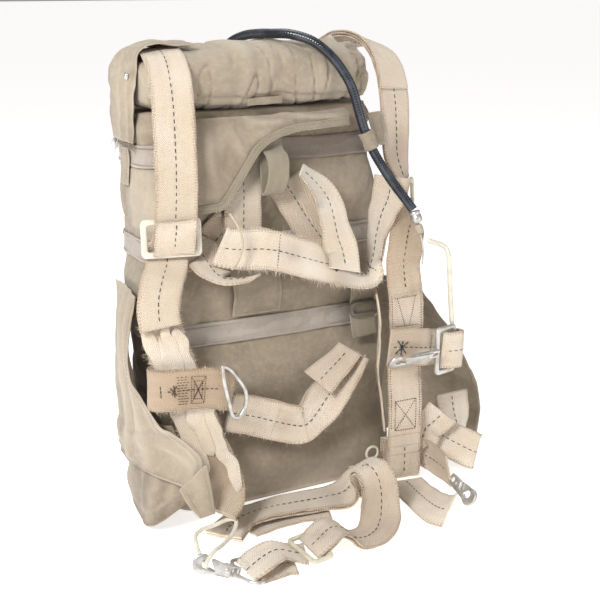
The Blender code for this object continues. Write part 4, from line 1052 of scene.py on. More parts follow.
def sew_adapter(bm, frames):
    total = (len(frames) - 1) * WEB_STEP
    sew(bm, frames, (total - 40, -18), (total - 40, 18), -1.4, 3.4, 1.2, 1)
    sew(bm, frames, (60, -16), (60, 16), 1.3, 3.0, 0.9, 2)
    star = ((8, -8), (24, 7)), ((9, 8), (23, -8)), ((16, -10), (16, 8))
    sew_lines(bm, frames, star, 1.9, 5.0, 1.6, 1, 0.92)
    fray(bm, frames, (total, -20), (total, 20), 40, 5.0, 20)


def sew_leg(bm, frames):
    sew_edges(bm, frames, 30, 400, 19.5, 1.3, 4.2, 0.7, 3)
    fray(bm, frames, (0, -20), (0, 20), 20, 4.0, 21)
    fray(bm, frames, (150, 22), (400, 22), 40, 3.5, 22)


def sew_right_riser(bm, frames):
    sew_edges(bm, frames, 60, 240, 19.5, 1.3, 4.2, 0.7, 3)
    fray(bm, frames, (60, 22), (240, 22), 40, 4.0, 23)


for name, task in (
    ("main_right", sew_main),
    ("chest_wrap_left", sew_wrap),
    ("back_cross", sew_cross),
    ("lift_left", sew_lift),
    ("waist_front", sew_waist),
    ("riser_left", sew_riser),
    ("riser_right", sew_right_riser),
    ("chest_web_right", sew_adapter),
    ("leg_strap_left", sew_leg),
):
    web_detail(name, task)

# Narrow tapes. A khaki herringbone tape is folded into a loop that keeps the back straps, another
# holds the retainer slide, and a folded binding covers the curved edge of the upper flap. The loose
# end of the roll's lower seam is a folded strip of its own canvas.
khaki_tape = webbing_finish("khaki_tape", (0.42, 0.365, 0.265), (0.35, 0.30, 0.21), (0.17, 0.135, 0.085))
KEEPER_ROWS = (
    (-5, -38, 428, 0, 0), (-6, -41, 412, 0, 0), (-9, -50, 396, 0, 0), (-11, -57, 377, 0, 0),
    (-13, -61, 363, 0, 0), (-14, -66, 357.5, 0, 0), (-13, -71, 363, 0, 0), (-11, -74, 375, 0, 0),
    (-9, -72, 391, 0, 0), (-8, -65, 400, 0, 0), (-7, -56, 403, 0, 0), (-6, -49, 408, 0, 0),
    (-5, -46, 419, 0, 0),
)
RETAINER_ROWS = (
    (105, -67, 247, 0, 0), (104, -68, 238, 0, 0), (101, -70, 221, 0, 0), (101, -73, 200, 0, 0),
    (103, -75, 178, 0, 0),
)
BINDING_ROWS = (
    (-106, -62.5, 347, 90, 60), (-88, -62.5, 347, 90, 80), (-74, -62.5, 349, 0, 110),
    (-62, -61.5, 362, 0, 140), (-50, -60.5, 378, 0, 142), (-38, -58.5, 394, 0, 140),
    (-25, -57.5, 409, 0, 128), (-8, -56.5, 419, 0, 108), (14, -54.2, 425, 0, 94), (48, -52.2, 428, 0, 90),
    (94, -50.5, 430, 0, 90),
)
SEAM_END_ROWS = (
    (-28, -34, 455.5, -90, 55), (-20, -36, 456, -90, 60), (-6, -36, 456.5, -90, 60),
    (14, -35, 457, -90, 62),
)
bm = bmesh.new()
bm.from_mesh(roll.data)
add_ribbon(bm, web_frames(SEAM_END_ROWS), 8.5, 2.6, seed=50.0)
bm.to_mesh(roll.data)
bm.free()
# Name, route, width, thickness.
TAPES = (
    ("keeper_tape", KEEPER_ROWS, 26.0, 1.2),
    ("retainer_strap", RETAINER_ROWS, 33.0, 1.5),
    ("flap_binding", BINDING_ROWS, 9.0, 1.5),
)
for number, (name, rows, width, thickness) in enumerate(TAPES):
    frames = web_frames(rows)
    total = (len(frames) - 1) * WEB_STEP
    bm = bmesh.new()
    add_ribbon(bm, frames, width, thickness, seed=20.0 + number, cup=0.3)
    sew_edges(bm, frames, 2, total - 2, width / 2 - 2.2, thickness / 2, 3.0, 0.6, 1)
    if name == "keeper_tape":
        for along in range(10, int(total) - 10, 9):
            sew(bm, frames, (along, -9), (along + 4, 9), thickness / 2, 2.4, 0.45, 1, 0.8)
    piece = add_piece("tape_" + name, bm, [khaki_tape, grey_thread])
    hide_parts(name)

# Canvas panels: the upper flap, the side flaps, the pouch, the end flap and the small tabs. Each is
# one layer of duck canvas with a turned and sewn hem, and it keeps the creases it was packed with.
# Rows of places down each panel: x, y, z.
PANELS = {
    "upper_flap": (
        ((-106, -33, 441), (-72, -33, 441), (-40, -33, 441), (-8, -33, 441), (40, -33, 441), (96, -33, 442)),
        ((-107, -48, 412), (-72, -50, 412), (-42, -46, 424), (-12, -43, 434), (40, -42, 437), (96, -41, 438)),
        ((-106, -55, 380), (-72, -56, 382), (-44, -54, 404), (-16, -51, 426), (40, -47, 432), (95, -46, 434)),
        ((-106, -59, 345), (-74, -60, 346), (-40, -56, 390), (-10, -54, 417), (42, -49, 426), (94, -48, 428)),
    ),
    "end_flap_left": (
        ((-78, -10, 519), (-78, 26, 520), (-78, 60, 514)),
        ((-104, -9, 519), (-104, 28, 520), (-104, 62, 513)),
        ((-127, -7, 518), (-127, 30, 518.5), (-127, 62, 512)),
        ((-143, -5, 507), (-144, 30, 508), (-143, 62, 502)),
        ((-149, -6, 486), (-150, 30, 486), (-149, 64, 484)),
        ((-151, -6, 464), (-152, 30, 464), (-151, 66, 464)),
        ((-151, -4, 441), (-152, 30, 438), (-151, 66, 440)),
        ((-151, -4, 414), (-152, 28, 414), (-151, 62, 414)),
    ),
    "side_keeper": (
        ((-152, 12, 408), (-152, 38, 408)),
        ((-151, 12, 398), (-151, 38, 398)),
        ((-152, 12, 384), (-152, 38, 384)),
        ((-153, 12, 366), (-153, 38, 366)),
    ),
    "wing_left": (
        ((-154, 58, 250), (-158, 20, 253), (-161, -8, 252), (-164, -28, 249)),
        ((-154, 62, 205), (-167, 32, 208), (-174, -8, 208), (-178, -42, 204)),
        ((-154, 64, 155), (-170, 30, 156), (-176, -26, 156), (-184, -70, 162)),
        ((-154, 66, 105), (-169, 26, 108), (-175, -42, 108), (-175, -107, 133)),
        ((-155, 67, 80), (-172, 22, 84), (-180, -50, 92), (-159, -127, 122)),
        ((-155, 68, 64), (-173, 18, 68), (-182, -64, 79), (-138, -143, 93)),
        ((-155, 68, 56), (-174, 16, 58), (-183, -70, 68), (-152, -137, 62)),
    ),
    "pouch_left": (
        ((-153, 40, 116), (-160, 0, 116), (-164, -44, 116), (-160, -78, 118), (-152, -92, 120)),
        ((-153, 42, 72), (-163, 0, 72), (-169, -54, 70), (-160, -96, 76), (-147, -111, 84)),
        ((-154, 42, 32), (-168, 0, 32), (-179, -60, 30), (-174, -100, 40), (-148, -117, 60)),
        ((-155, 40, 3), (-167, 0, 3), (-179, -62, 3), (-179, -98, 9), (-149, -117, 37)),
    ),
    "wing_strap_left": (
        ((-166, -142, 68), (-151, -146, 82), (-137, -150, 95)),
        ((-160, -152, 52), (-147, -156, 60), (-135, -158, 66)),
        ((-150, -159, 38), (-142, -161, 40), (-134, -162, 42)),
    ),
    "wing_right": (
        ((153, 12, 238), (166, -6, 234), (181, -30, 229), (195, -54, 222)),
        ((153, 16, 182), (190, 12, 174), (219, -18, 169), (240, -58, 163)),
        ((153, 18, 122), (200, 22, 119), (241, -8, 117), (268, -60, 116)),
        ((153, 20, 60), (205, 28, 60), (256, 0, 58), (292, -60, 56)),
        ((154, 20, 2), (205, 30, 2), (258, 2, 2), (290, -58, 6)),
    ),
    "sleeve_tab": (
        ((118, -46, 437), (130, -44, 438), (141, -41, 438)),
        ((123, -50, 418), (134, -46, 418), (146, -43, 418)),
        ((128, -54, 401), (136, -50, 399), (144, -47, 402)),
    ),
}
PANEL_STEP = 3.0
CANVAS_THICKNESS = 1.5
HEM_INSET = 6.5


def grid_point(rows, column, row):
    return Vector(blend_rows([blend_rows(line, column) for line in rows], row))


def line_gap(point, start, end):
    start, end, point = Vector(start), Vector(end), Vector(point)
    run = end - start
    share = min(max((point - start).dot(run) / run.length_squared, 0.0), 1.0)
    return (point - start - run * share).length, share


def select_only(piece):
    bpy.ops.object.select_all(action="DESELECT")
    bpy.context.view_layer.objects.active = piece
    piece.select_set(True)


def canvas_panel(name, rows, folds, hems, rumple, seed, stains=(), fringe=0, paleness=0.0):
    """A panel on a smooth surface, with its creases: each runs between two places, given as shares
    across and down the panel, and has a width and a height in millimetres."""
    columns, lines = len(rows[0]) - 1, len(rows) - 1
    middle_row = [grid_point(rows, columns * k / 12, lines / 2) for k in range(13)]
    middle_column = [grid_point(rows, columns / 2, lines * k / 12) for k in range(13)]
    wide, tall = [
        sum((after - before).length for before, after in zip(line, line[1:]))
        for line in (middle_row, middle_column)
    ]
    across_count, down_count = max(6, round(wide / PANEL_STEP)), max(6, round(tall / PANEL_STEP))
    bm = bmesh.new()
    wear_layer = bm.verts.layers.float.new("wear")
    soil_and_shade_layer = bm.verts.layers.float.new("soil_and_shade")
    grid = []
    outs = []
    for i in range(down_count + 1):
        line, out_line = [], []
        for j in range(across_count + 1):
            column, row = columns * j / across_count, lines * i / down_count
            column = min(max(column, 0.02), columns - 0.02)
            row = min(max(row, 0.02), lines - 0.02)
            point = grid_point(rows, columns * j / across_count, lines * i / down_count)
            right = grid_point(rows, column + 0.02, row) - grid_point(rows, column - 0.02, row)
            down = grid_point(rows, column, row + 0.02) - grid_point(rows, column, row - 0.02)
            out = down.cross(right).normalized()
            x, y = wide * j / across_count, tall * i / down_count
            move = 0.0
            wear = 0.0
            for x0, y0, x1, y1, size, height in folds:
                sway = [ripple(Vector((x, y, level)), 30.0, seed) for level in (3.0, 9.0)]
                wavy = Vector((x, y)) + Vector(sway) * 2.5
                gap, share = line_gap(wavy, (x0 * wide, y0 * tall), (x1 * wide, y1 * tall))
                rise = height * math.exp(-(gap / size) ** 2) * (0.35 + 0.65 * math.sin(math.pi * share))
                move += rise
                wear = max(wear, rise / 4.0)
            flat = Vector((x, y, 0.0))
            move += rumple * (1.3 * ripple(flat, 38.0, seed + 1) + 0.5 * ripple(flat, 13.0, seed + 2))
            edges = {"l": x, "r": wide - x, "t": y, "b": tall - y}
            hem = min((edges[key] for key in hems), default=99.0)
            move += 0.7 * (1.0 - ease(hem, 7.0, 9.0))
            move += 0.8 * rumple * ripple(Vector((x, y, 5.0)), 16.0, seed + 3) * math.exp(-hem / 8.0)
            vertex = bm.verts.new((point + out * move) * MM)
            vertex.co.z = max(vertex.co.z, 0.0010)
            vertex[wear_layer] = min(1.0, paleness + wear + 0.55 * math.exp(-min(edges.values()) / 1.6))
            level = 0.0
            for at_x, at_y, size, strength in stains:
                gap = (x - at_x * wide) ** 2 + (y - at_y * tall) ** 2
                level = max(level, strength * math.exp(-gap / size ** 2))
            vertex[soil_and_shade_layer] = level
            line.append(vertex)
            out_line.append(out)
        grid.append(line)
        outs.append(out_line)
    for upper, lower in zip(grid, grid[1:]):
        for j in range(across_count):
            bm.faces.new((upper[j], lower[j], lower[j + 1], upper[j + 1]))
    bmesh.ops.recalc_face_normals(bm, faces=bm.faces)
    inset = max(2, round(HEM_INSET / PANEL_STEP))
    along, down = range(inset, across_count - inset + 1), range(inset, down_count - inset + 1)
    seams = {
        "b": [(down_count - inset, j) for j in along],
        "t": [(inset, j) for j in along],
        "l": [(i, inset) for i in down],
        "r": [(i, across_count - inset) for i in down],
    }
    threads = []
    for seam in [seams[key] for key in "btlr" if key in hems]:
        for first, second in zip(seam, seam[1:]):
            a, b = grid[first[0]][first[1]].co, grid[second[0]][second[1]].co
            threads.append((a.copy(), b.copy(), outs[first[0]][first[1]]))
    ends = [(last.co.copy(), (last.co - before.co).normalized()) for before, last in zip(grid[-2], grid[-1])]
    piece = add_piece(name, bm, [canvas, grey_thread])
    wall = piece.modifiers.new("Thickness", "SOLIDIFY")
    wall.thickness = CANVAS_THICKNESS * MM
    wall.offset = 0.0
    smooth = piece.modifiers.new("Smooth", "SUBSURF")
    smooth.levels = 1
    smooth.render_levels = 1
    select_only(piece)
    bpy.ops.object.modifier_apply(modifier="Thickness")
    bpy.ops.object.modifier_apply(modifier="Smooth")
    bm = bmesh.new()
    bm.from_mesh(piece.data)
    for a, b, out in threads:
        for side in (-1, 1):
            middle, run = (a + b) / 2 + out * side * (CANVAS_THICKNESS / 2 + 0.1) * MM, b - a
            add_stitch(bm, middle, run.normalized(), out * side, run.length * 0.66, 0.65 * MM, 1)
    dice = random.Random(int(seed * 10) + 3)
    for number in range(fringe):
        root, away = dice.choice(ends)
        lean = Vector((dice.uniform(-1, 1), dice.uniform(-1, 0.3), dice.uniform(-1, 0.4)))
        reach = dice.uniform(2.0, 8.0) * MM
        points = [
            root + (away + 0.6 * lean) * reach * step / 3 + lean * reach * 0.3 * (step / 3) ** 2
            for step in range(4)
        ]
        add_tube(bm, points, [0.17 * MM] * 4, sides=3)
    bm.to_mesh(piece.data)
    bm.free()
    return piece


# Folds: from and to, as shares across and down, then width and height. Stains: place, size, strength.
PANEL_WORK = {
    "upper_flap": dict(
        folds=(
            (0.30, 0.10, 0.42, 0.80, 6, 2.2), (0.45, 0.05, 0.70, 0.55, 5, 2.6),
            (0.62, 0.10, 0.95, 0.50, 5, 2.8), (0.05, 0.25, 0.40, 0.35, 9, 2.0),
            (0.02, 0.62, 0.35, 0.50, 8, -1.8), (0.70, 0.25, 0.98, 0.80, 5, 2.4),
            (0.12, 0.15, 0.20, 0.95, 7, 1.6),
        ),
        hems="b", rumple=1.3, seed=1.0, fringe=60,
        stains=((0.22, 0.75, 42.0, 0.28), (0.05, 0.3, 30.0, 0.2)),
    ),
    "end_flap_left": dict(
        folds=(
            (0.04, 0.46, 0.10, 1.0, 4, 2.6), (0.16, 0.50, 0.20, 1.0, 4, -2.6),
            (0.28, 0.52, 0.34, 1.0, 5, 2.6), (0.44, 0.50, 0.42, 1.0, 5, -2.4),
            (0.58, 0.50, 0.62, 1.0, 6, 2.4), (0.10, 0.30, 0.80, 0.36, 4, 2.0),
        ),
        hems="rl", seed=2.0, rumple=1.3, fringe=90,
        stains=((0.1, 0.97, 10.0, 0.5), (0.05, 0.55, 7.0, 0.4)),
    ),
    "side_keeper": dict(folds=(), hems="rl", seed=3.0, rumple=0.5),
    "wing_left": dict(
        folds=(
            (0.97, 0.0, 0.94, 1.0, 4, 3.0), (0.86, 0.0, 0.82, 0.98, 5, -2.8),
            (0.74, 0.05, 0.72, 0.96, 6, 3.2), (0.62, 0.1, 0.62, 0.95, 6, -3.0),
            (0.50, 0.1, 0.56, 0.95, 8, 3.0), (0.36, 0.15, 0.44, 0.9, 10, -2.5),
            (0.80, 0.70, 0.99, 0.94, 4, 2.4), (0.84, 0.60, 0.99, 0.80, 4, -2.0),
            (0.1, 0.2, 0.25, 0.9, 12, 2.0),
        ),
        # wing_left is made paler all over.
        hems="rb", rumple=1.4, seed=4.0, paleness=0.35,
    ),
    "pouch_left": dict(
        folds=(
            (0.62, 0.0, 0.70, 1.0, 10, 3.4), (0.42, 0.1, 0.50, 1.0, 9, -3.0),
            (0.80, 0.2, 0.90, 0.9, 7, 2.6), (0.26, 0.0, 0.30, 1.0, 12, 3.0),
            (0.72, 0.45, 0.55, 0.98, 6, -2.2), (0.55, 0.80, 0.98, 0.72, 5, 2.2),
            (0.90, 0.1, 0.97, 0.8, 5, -2.0), (0.66, 0.3, 0.95, 0.45, 5, 1.8),
        ),
        hems="rb", rumple=1.6, seed=5.0, stains=(
            (0.66, 0.22, 3.0, 0.9), (0.95, 0.95, 20.0, 0.45), (0.6, 0.5, 50.0, 0.22),
        ),
    ),
    "wing_strap_left": dict(folds=((0.5, 0.0, 0.5, 1.0, 6, 1.6),), hems="rl", rumple=0.7, seed=6.0),
    "wing_right": dict(
        folds=(
            (0.5, 0.0, 0.6, 1.0, 14, 3.0), (0.75, 0.1, 0.85, 0.9, 10, -2.4), (0.3, 0.3, 0.95, 0.6, 12, 2.2),
        ),
        hems="rb", rumple=1.4, seed=7.0,
    ),
    "sleeve_tab": dict(folds=(), hems="rlb", rumple=0.5, seed=8.0),
}
for name, rows in PANELS.items():
    piece = canvas_panel("canvas_" + name, rows, **PANEL_WORK[name])
    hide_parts(name)

# Record pocket. A plain canvas pocket is sewn flat on the pack below the middle tape, with a hem and
# a row of stitches on all four sides.
POCKET_SIDES = (-61.0, -31.0, -1.0)
POCKET_HEIGHTS = (277.0, 262.0, 246.0, 232.0, 220.0)
pocket_rows = []
for height in POCKET_HEIGHTS:
    front = pack_profile(height)[2] - 3.2
    pocket_rows.append(tuple((x, front, height) for x in POCKET_SIDES))
pocket_folds = ((0.1, 0.2, 0.9, 0.35, 6, 0.9),)
pocket = canvas_panel("record_pocket_cover", pocket_rows, pocket_folds, hems="rlbt", rumple=0.5, seed=9.0)
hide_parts("record_pocket")

# Slides and adapters. Flat steel frames, pressed and painted khaki, join the webs. The paint has
# worn off their edges. Each keeps its place, because the web through it holds it.
def metal_finish(name, bare, tarnish, paint=None, chips=0.62):
    finish, tree, shader = shader_of(name)
    place = object_place(tree)
    cloud = speckle(tree, 90.0, 5.0, 0.65, place)
    colour = graded(tree, cloud, tarnish, bare, 0.36, 0.56)
    scratch = node(tree, "Mapping", {}, Vector=place, Scale=(260.0, 260.0, 1500.0))
    lines = speckle(tree, 1.0, 2.0, 0.5, scratch.outputs[0])
    rough = sums(tree, "MULTIPLY_ADD", lines, 0.22, sums(tree, "MULTIPLY_ADD", cloud, -0.25, 0.36))
    if paint:
        chip = ramp(tree, speckle(tree, 210.0, 6.0, 0.7, place), chips, chips + 0.04)
        skin = graded(tree, cloud, tuple(0.78 * part for part in paint), paint, 0.3, 0.6)
        colour = node(tree, "Mix", {"data_type": "RGBA"}, i0=chip, i6=skin, i7=colour).outputs[2]
        tree.links.new(chip, shader.inputs["Metallic"])
        rough = sums(tree, "MULTIPLY_ADD", chip, -0.15, sums(tree, "MULTIPLY_ADD", lines, 0.15, 0.42))
    else:
        shader.inputs["Metallic"].default_value = 0.7
    normal = bumped(tree, lines, 0.12, 0.0003)
    fill(tree, shader, {"Base Color": colour, "Roughness": rough, "Normal": normal})
    return finish


plated_steel = metal_finish("plated_steel", (0.56, 0.56, 0.54), (0.40, 0.375, 0.33))
khaki_paint = metal_finish("khaki_paint", (0.60, 0.55, 0.42), (0.42, 0.35, 0.22), (0.60, 0.56, 0.44))
dark_paint = metal_finish("dark_paint", (0.22, 0.20, 0.17), (0.12, 0.10, 0.08), (0.13, 0.115, 0.09), 0.6)
cream_paint = metal_finish("cream_paint", (0.66, 0.62, 0.52), (0.45, 0.38, 0.26), (0.70, 0.665, 0.56), 0.66)


def facing(place, ahead, up):
    """Place and turn of a flat piece: its length along one direction, its height towards another."""
    x_axis = Vector(ahead).normalized()
    z_axis = x_axis.cross(Vector(up)).normalized()
    turn = Matrix((x_axis, z_axis.cross(x_axis), z_axis)).transposed().to_4x4()
    return Matrix.Translation(Vector(place) * MM) @ turn


def arc(centre_x, centre_y, radius, start, end, steps):
    angles = [math.radians(start + (end - start) * number / steps) for number in range(steps + 1)]
    return [(centre_x + radius * math.cos(angle), centre_y + radius * math.sin(angle)) for angle in angles]


def round_corners(half_length, half_height, radius):
    outline = []
    for side_x, side_y, start in ((1, 1, 0), (-1, 1, 90), (-1, -1, 180), (1, -1, 270)):
        middle = side_x * (half_length - radius), side_y * (half_height - radius)
        outline += arc(*middle, radius, start, start + 90, 8)
    return outline


def pressed_plate(name, outlines, thickness, edge, matrix, finish, body="harness_pack"):
    """A flat plate with holes, all its edges rounded over."""
    curve = bpy.data.curves.new(name, "CURVE")
    curve.dimensions = "2D"
    curve.fill_mode = "BOTH"
    curve.extrude = (thickness / 2 - edge) * MM
    curve.bevel_depth = edge * MM
    curve.bevel_resolution = 2
    curve.offset = -edge * MM
    for outline in outlines:
        spline = curve.splines.new("POLY")
        spline.points.add(len(outline) - 1)
        for target, point in zip(spline.points, outline):
            target.co = (point[0] * MM, point[1] * MM, 0.0, 1.0)
        spline.use_cyclic_u = True
    item = bpy.data.objects.new(name, curve)
    bpy.context.scene.collection.objects.link(item)
    select_only(item)
    bpy.ops.object.convert(target="MESH")
    piece = bpy.context.object
    piece.data.transform(matrix)
    piece.data.materials.clear()
    piece.data.materials.append(finish)
    bm = bmesh.new()
    bm.from_mesh(piece.data)
    bmesh.ops.remove_doubles(bm, verts=bm.verts, dist=0.00001)
    bmesh.ops.recalc_face_normals(bm, faces=bm.faces)
    bm.to_mesh(piece.data)
    bm.free()
    bpy.ops.object.shade_smooth_by_angle(angle=math.radians(40))
    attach(piece, body)
    return piece


# Name, length, height, width of the rim, place, direction of the length and the height, finish.
SLIDES = (
    ("adjuster_left", 65.0, 42.0, 7.0, (-134.9, -65.8, 321), (0.97, -0.24, 0.0), (0.02, 0.1, 1.0), cream_paint),
    ("adjuster_right", 54.0, 34.0, 6.0, (172, -57, 340), (0.70, 0.71, 0.0), (0.0, 0.1, 1.0), khaki_paint),
    ("chest_adapter", 59.0, 34.0, 6.0, (184, -125.5, 163), (0.0, 0.0, 1.0), (0.97, 0.2, 0.05), plated_steel),
    ("leg_adapter_left", 58.0, 26.0, 5.0, (-59.5, -235, 16.4), (0.04, -1.0, 0.0), (1.0, 0.04, 0.1),
     khaki_paint),
    ("retainer_slide", 38.0, 18.0, 4.5, (101, -75.5, 213), (1.0, 0.0, 0.0), (0.0, 0.1, 1.0), dark_paint),
)
for name, width, height, rim, place, ahead, up, finish in SLIDES:
    hole = round_corners(width / 2 - rim, height / 2 - rim, 2.5)
    outlines = (round_corners(width / 2, height / 2, 6.0), hole)
    piece = pressed_plate(name + "_frame", outlines, 4.4, 1.6, facing(place, ahead, up), finish)
    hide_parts(name)

# Rings, link, bail and ripcord handle. They are bent from round rod and welded shut, then plated or
# painted. The handle is open at its lower end, and the pull cable hangs beside its upper end.
# Diameter, whether it is closed, finish, slot and route of each rod: x, y, z.
RODS = {
    "leg_link_left": (4.4, True, cream_paint, "painted_metal", (
        (-150, -162, 27), (-134, -161, 28), (-118, -160, 30), (-112, -167, 30), (-124, -185, 27),
        (-144, -204, 28), (-159, -217, 31), (-169, -225, 29.5), (-174.5, -228.5, 25), (-173.2, -226, 21.2),
        (-169.7, -217, 18.5), (-166.4, -207.5, 16), (-165.5, -194, 16), (-164, -182, 20), (-160, -169, 25),
    )),
    "chest_ring": (4.4, True, plated_steel, "steel", (
        (-108, -131, 192), (-100, -131, 188), (-89, -130, 174), (-81, -130, 159), (-81, -130, 144),
        (-89, -131, 132), (-97, -131, 134), (-101, -131, 150), (-106, -131, 172),
    )),
    "leg_bail_left": (4.0, True, plated_steel, "steel", (
        (-126, -205, 7.0), (-125.5, -231, 7.0), (-125, -257, 7.0), (-134.5, -256, 7.5), (-142.5, -243, 8.5),
        (-145.5, -234, 9.4), (-140.5, -225.5, 7.6), (-138.5, -215, 7.5), (-135.5, -206, 7.3),
    )),
    "ripcord_handle": (6.0, False, cream_paint, "painted_metal", (
        (161, -115, 299), (164, -116, 295), (178, -116, 290), (187, -116, 284), (191, -116, 274),
        (193, -116, 255), (196, -116, 222), (199, -116, 196), (200, -116, 188),
    )),
}
for name, (diameter, closed, finish, slot_name, route) in RODS.items():
    rows = list(route) + ([route[0]] if closed else [])
    points = [Vector(blend_rows(rows, place)) * MM for place in even_places(rows, 2.4)[0]]
    if closed:
        points.pop()
    radii = [diameter / 2 * MM] * len(points)
    if not closed:
        last = len(points) - 1
        radii = [radii[0] * (0.55, 0.9, 1.0)[min(number, last - number, 2)] for number in range(last + 1)]
    bm = bmesh.new()
    add_tube(bm, points, radii, sides=16, closed=closed)
    bmesh.ops.recalc_face_normals(bm, faces=bm.faces)
    piece = add_piece(name + "_rod", bm, [finish])
    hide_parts(name)

SADDLE_RING = (98, -104, 40)
bpy.ops.object.select_all(action="DESELECT")
bpy.ops.mesh.primitive_torus_add(
    major_segments=48,
    minor_segments=14,
    major_radius=8.0 * MM,
    minor_radius=1.6 * MM,
    location=Vector(SADDLE_RING) * MM,
    rotation=(math.pi / 2, 0.0, 0.0),
)
ring = bpy.context.object
bpy.ops.object.transform_apply(location=True, rotation=True, scale=True)
bpy.ops.object.shade_smooth()
ring.name = "saddle_ring_wire"
ring.data.materials.append(khaki_paint)
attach(ring, "harness_pack")
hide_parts("saddle_ring")

# Ferrule, cable and cable whipping. The steel ferrule is turned and crimped on the conduit's end.
# The cable is twisted from fine strands, and waxed thread is wound round it below the ferrule.
CABLE_ROUTE = (
    (154.5, -110.6, 302.8), (154, -115, 293), (153, -118, 282), (152, -119, 270),
)
ferrule_aim = Vector((0.25, -0.25, -0.93)).normalized()
ferrule_middle = Vector((150.4, -105.4, 322.8))
# Distance along the axis, and radius.
FERRULE_PROFILE = (
    (-7.0, 5.7), (-6.8, 6.4), (-3.4, 6.5), (-3.0, 5.9), (-2.2, 5.9),
    (-1.8, 6.5), (5.6, 6.4), (6.6, 5.6), (7.0, 4.4), (7.2, 2.4),
)


def add_turned(bm, profile, spot, sides):
    """Skin a turned shape. Its axis is given by the place of each distance along it."""
    line = [spot(along) for along, radius in profile]
    add_tube(bm, line, [radius * MM for along, radius in profile], sides=sides)


bm = bmesh.new()
add_turned(bm, FERRULE_PROFILE, lambda along: (ferrule_middle + ferrule_aim * along) * MM, 32)
bmesh.ops.recalc_face_normals(bm, faces=bm.faces)
ferrule = add_piece("ferrule_crimp", bm, [plated_steel])
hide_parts("housing_ferrule")

places = even_places(CABLE_ROUTE, 1.0)[0]
cable_line = [Vector(blend_rows(CABLE_ROUTE, place)) for place in places]
bm = bmesh.new()
for strand in range(6):
    points = []
    for number, middle in enumerate(cable_line):
        last = len(cable_line) - 1
        ahead = (cable_line[min(number + 1, last)] - cable_line[max(number - 1, 0)]).normalized()
        side = ahead.cross(Vector((1.0, 0.0, 0.0))).normalized()
        angle = 2 * math.pi * (strand / 6 + number / 9.0)
        points.append((middle + (side * math.cos(angle) + ahead.cross(side) * math.sin(angle)) * 0.72) * MM)
    add_tube(bm, points, [0.42 * MM] * len(points), sides=6)
bmesh.ops.recalc_face_normals(bm, faces=bm.faces)
cable = add_piece("pull_cable", bm, [plated_steel])
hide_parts("ripcord_cable")

waxed_thread = thread_finish("waxed_thread", (0.56, 0.50, 0.38))
whipping_middle = Vector((153.2, -108.6, 309.4))
side = ferrule_aim.orthogonal().normalized()
points = []
WHIPPING_STEPS = 200
for number in range(WHIPPING_STEPS):
    angle = 2 * math.pi * number / 20
    reach = 3.6 + 0.9 * math.sin(math.pi * number / (WHIPPING_STEPS - 1))
    along = -5.0 + 10.0 * number / (WHIPPING_STEPS - 1)
    wound = side * math.cos(angle) + ferrule_aim.cross(side) * math.sin(angle)
    points.append((whipping_middle + ferrule_aim * along + wound * reach) * MM)
bm = bmesh.new()
add_tube(bm, points, [0.62 * MM] * WHIPPING_STEPS, sides=6)
WHIPPING_CORE = ((-5.4, 2.0), (-4.8, 3.6), (4.8, 3.6), (5.4, 2.0))
add_turned(bm, WHIPPING_CORE, lambda along: (whipping_middle + ferrule_aim * along) * MM, 16)
bmesh.ops.recalc_face_normals(bm, faces=bm.faces)
whipping = add_piece("cable_whipping", bm, [waxed_thread])

# Snap stud on the end flap. A domed steel cap is pressed onto a rolled socket through the canvas, and
# it stays on the flap.
stud_place = Vector((-152.2, 6.0, 486.0))
STUD_PROFILE = (
    (-1.2, 4.0), (-0.6, 4.6), (0.2, 4.5), (0.5, 3.6), (0.8, 3.3),
    (1.5, 2.9), (2.1, 2.1), (2.4, 1.1), (2.5, 0.2),
)
bm = bmesh.new()
add_turned(bm, STUD_PROFILE, lambda along: (stud_place + Vector((-along, 0.0, 0.0))) * MM, 28)
bmesh.ops.recalc_face_normals(bm, faces=bm.faces)
stud = add_piece("stud_cap", bm, [plated_steel])
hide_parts("snap_stud")

# Canvas sleeve. A folded canvas keeper is wrapped round the conduit and sewn down its open side, so
# that it holds the conduit to the pack.
SLEEVE_START, SLEEVE_END = Vector((106.6, -62.9, 418)), Vector((114, -66.8, 399))
sleeve_run = SLEEVE_END - SLEEVE_START
sleeve_side = Vector((1.0, 0.25, 0.35))
sleeve_side = (sleeve_side - sleeve_run.normalized() * sleeve_side.dot(sleeve_run.normalized())).normalized()
sleeve_front = sleeve_run.normalized().cross(sleeve_side)
bm = bmesh.new()
bm.verts.layers.float.new("wear")
rows = []
for number in range(13):
    share = number / 12
    centre = SLEEVE_START.lerp(SLEEVE_END, share)
    row = []
    for turn in range(41):
        angle = math.radians(-150 + 300 * turn / 40)
        reach = 7.4 + 0.5 * ripple(Vector((turn * 1.5, number * 2.0, 1.0)), 9.0, 3.0)
        reach += 0.7 if number in (0, 12) else 0.0
        row.append(centre + sleeve_front * math.cos(angle) * reach + sleeve_side * math.sin(angle) * reach)
    rows.append([bm.verts.new(point * MM) for point in row])
for upper, lower in zip(rows, rows[1:]):
    for turn in range(40):
        bm.faces.new((upper[turn], lower[turn], lower[turn + 1], upper[turn + 1]))
sleeve = add_piece("sleeve_canvas", bm, [canvas])
wall = sleeve.modifiers.new("Thickness", "SOLIDIFY")
wall.thickness = 1.3 * MM
wall.offset = 0.0
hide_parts("housing_sleeve")

# Snap hooks. Each is a forged steel hook with a round nose. A sprung cover of folded sheet turns on
# a rivet and closes the throat. On the chest and the left leg a frame or a bail joins the hook's eye
# to its web; on the right leg the eye ends beside its web.
HOOK_THICKNESS = 3.4
RIVET = 11.0
RIVET_PROFILE = (
    (-5.0, 0.4), (-4.7, 1.6), (-4.1, 2.5), (-3.6, 2.7), (3.2, 2.7), (3.7, 2.4), (4.1, 1.4), (4.3, 0.3),
)
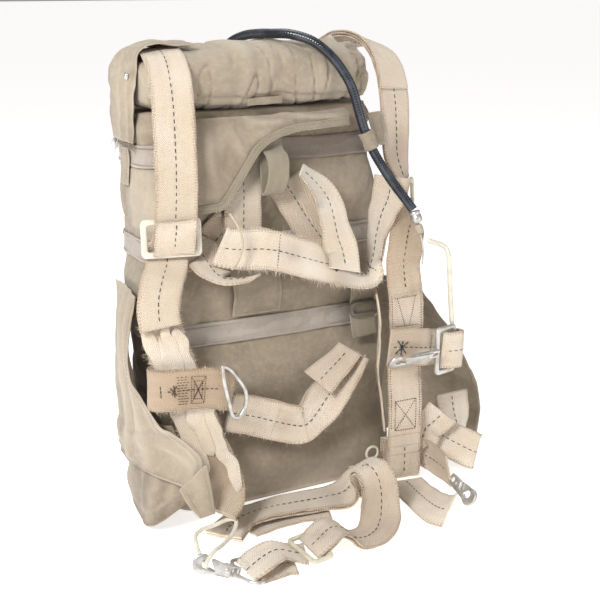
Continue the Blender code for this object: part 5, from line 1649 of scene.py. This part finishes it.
# Name, body of its gate, reach of the hook, place, direction of its length and of its height.
SNAPS = (
    ("chest_snap", "chest_gate", 56.0, (163, -137.5, 165), (-1.0, 0.0, -0.03), (0.0, -0.55, 0.83)),
    ("leg_snap_left", "left_leg_gate", 37.0, (-140.5, -230.5, 8.0), (-0.90, 0.41, 0.30), (0.283, 0.154, 0.943)),
    ("leg_snap_right", "right_leg_gate", 37.0, (161, -180, 24), (-0.05, -0.97, -0.22), (0.53, -0.29, 0.80)),
)
eye = arc(2.6, 0.0, 3.3, 0, 345, 23)
for name, gate_body, reach, place, ahead, up in SNAPS:
    matrix = facing(place, ahead, up)
    hook_outline = [(-2.5, -5.5), (4.0, -6.5), (reach - 12.0, -8.0)] + arc(reach, 0.0, 10.5, -130, 104, 36)
    hook_outline += [(reach - 5.5, 8.8), (reach - 6.2, 6.2)] + arc(reach - 3.5, 0.8, 4.4, 118, -150, 28)
    hook_outline += [(reach - 13.0, -3.2), (reach - 18.0, -0.5), (reach - 20.0, 4.0), (reach - 22.0, 6.8)]
    hook_outline += [(4.0, 6.5), (-2.5, 5.5)]
    cover_outline = [(7.8, -6.0), (reach - 15.0, -6.0), (reach - 13.0, -2.0), (reach - 8.5, 4.6)]
    cover_outline += [(reach - 7.6, 8.2), (reach - 11.0, 8.6), (reach - 21.0, 6.6), (7.8, 6.0)]
    hook = pressed_plate(name + "_hook", (hook_outline, eye), HOOK_THICKNESS + 0.8, 1.2, matrix, plated_steel)
    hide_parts(name)
    beside = matrix @ Matrix.Translation((0.0, 0.0, -3.1 * MM))
    near = pressed_plate(name + "_cover", (cover_outline,), 1.2, 0.3, beside, plated_steel, gate_body)
    bm = bmesh.new()
    bm.from_mesh(near.data)
    add_turned(bm, RIVET_PROFILE, lambda along: matrix @ (Vector((RIVET, 0.0, along)) * MM), 20)
    spine = [matrix @ (Vector((x, -6.6, -2.9)) * MM) for x in (8.2, 12.0, 17.0, 21.6)]
    add_tube(bm, spine, [0.9 * MM] * 4, sides=10)
    bm.to_mesh(near.data)
    bm.free()
    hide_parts(name + "_gate")
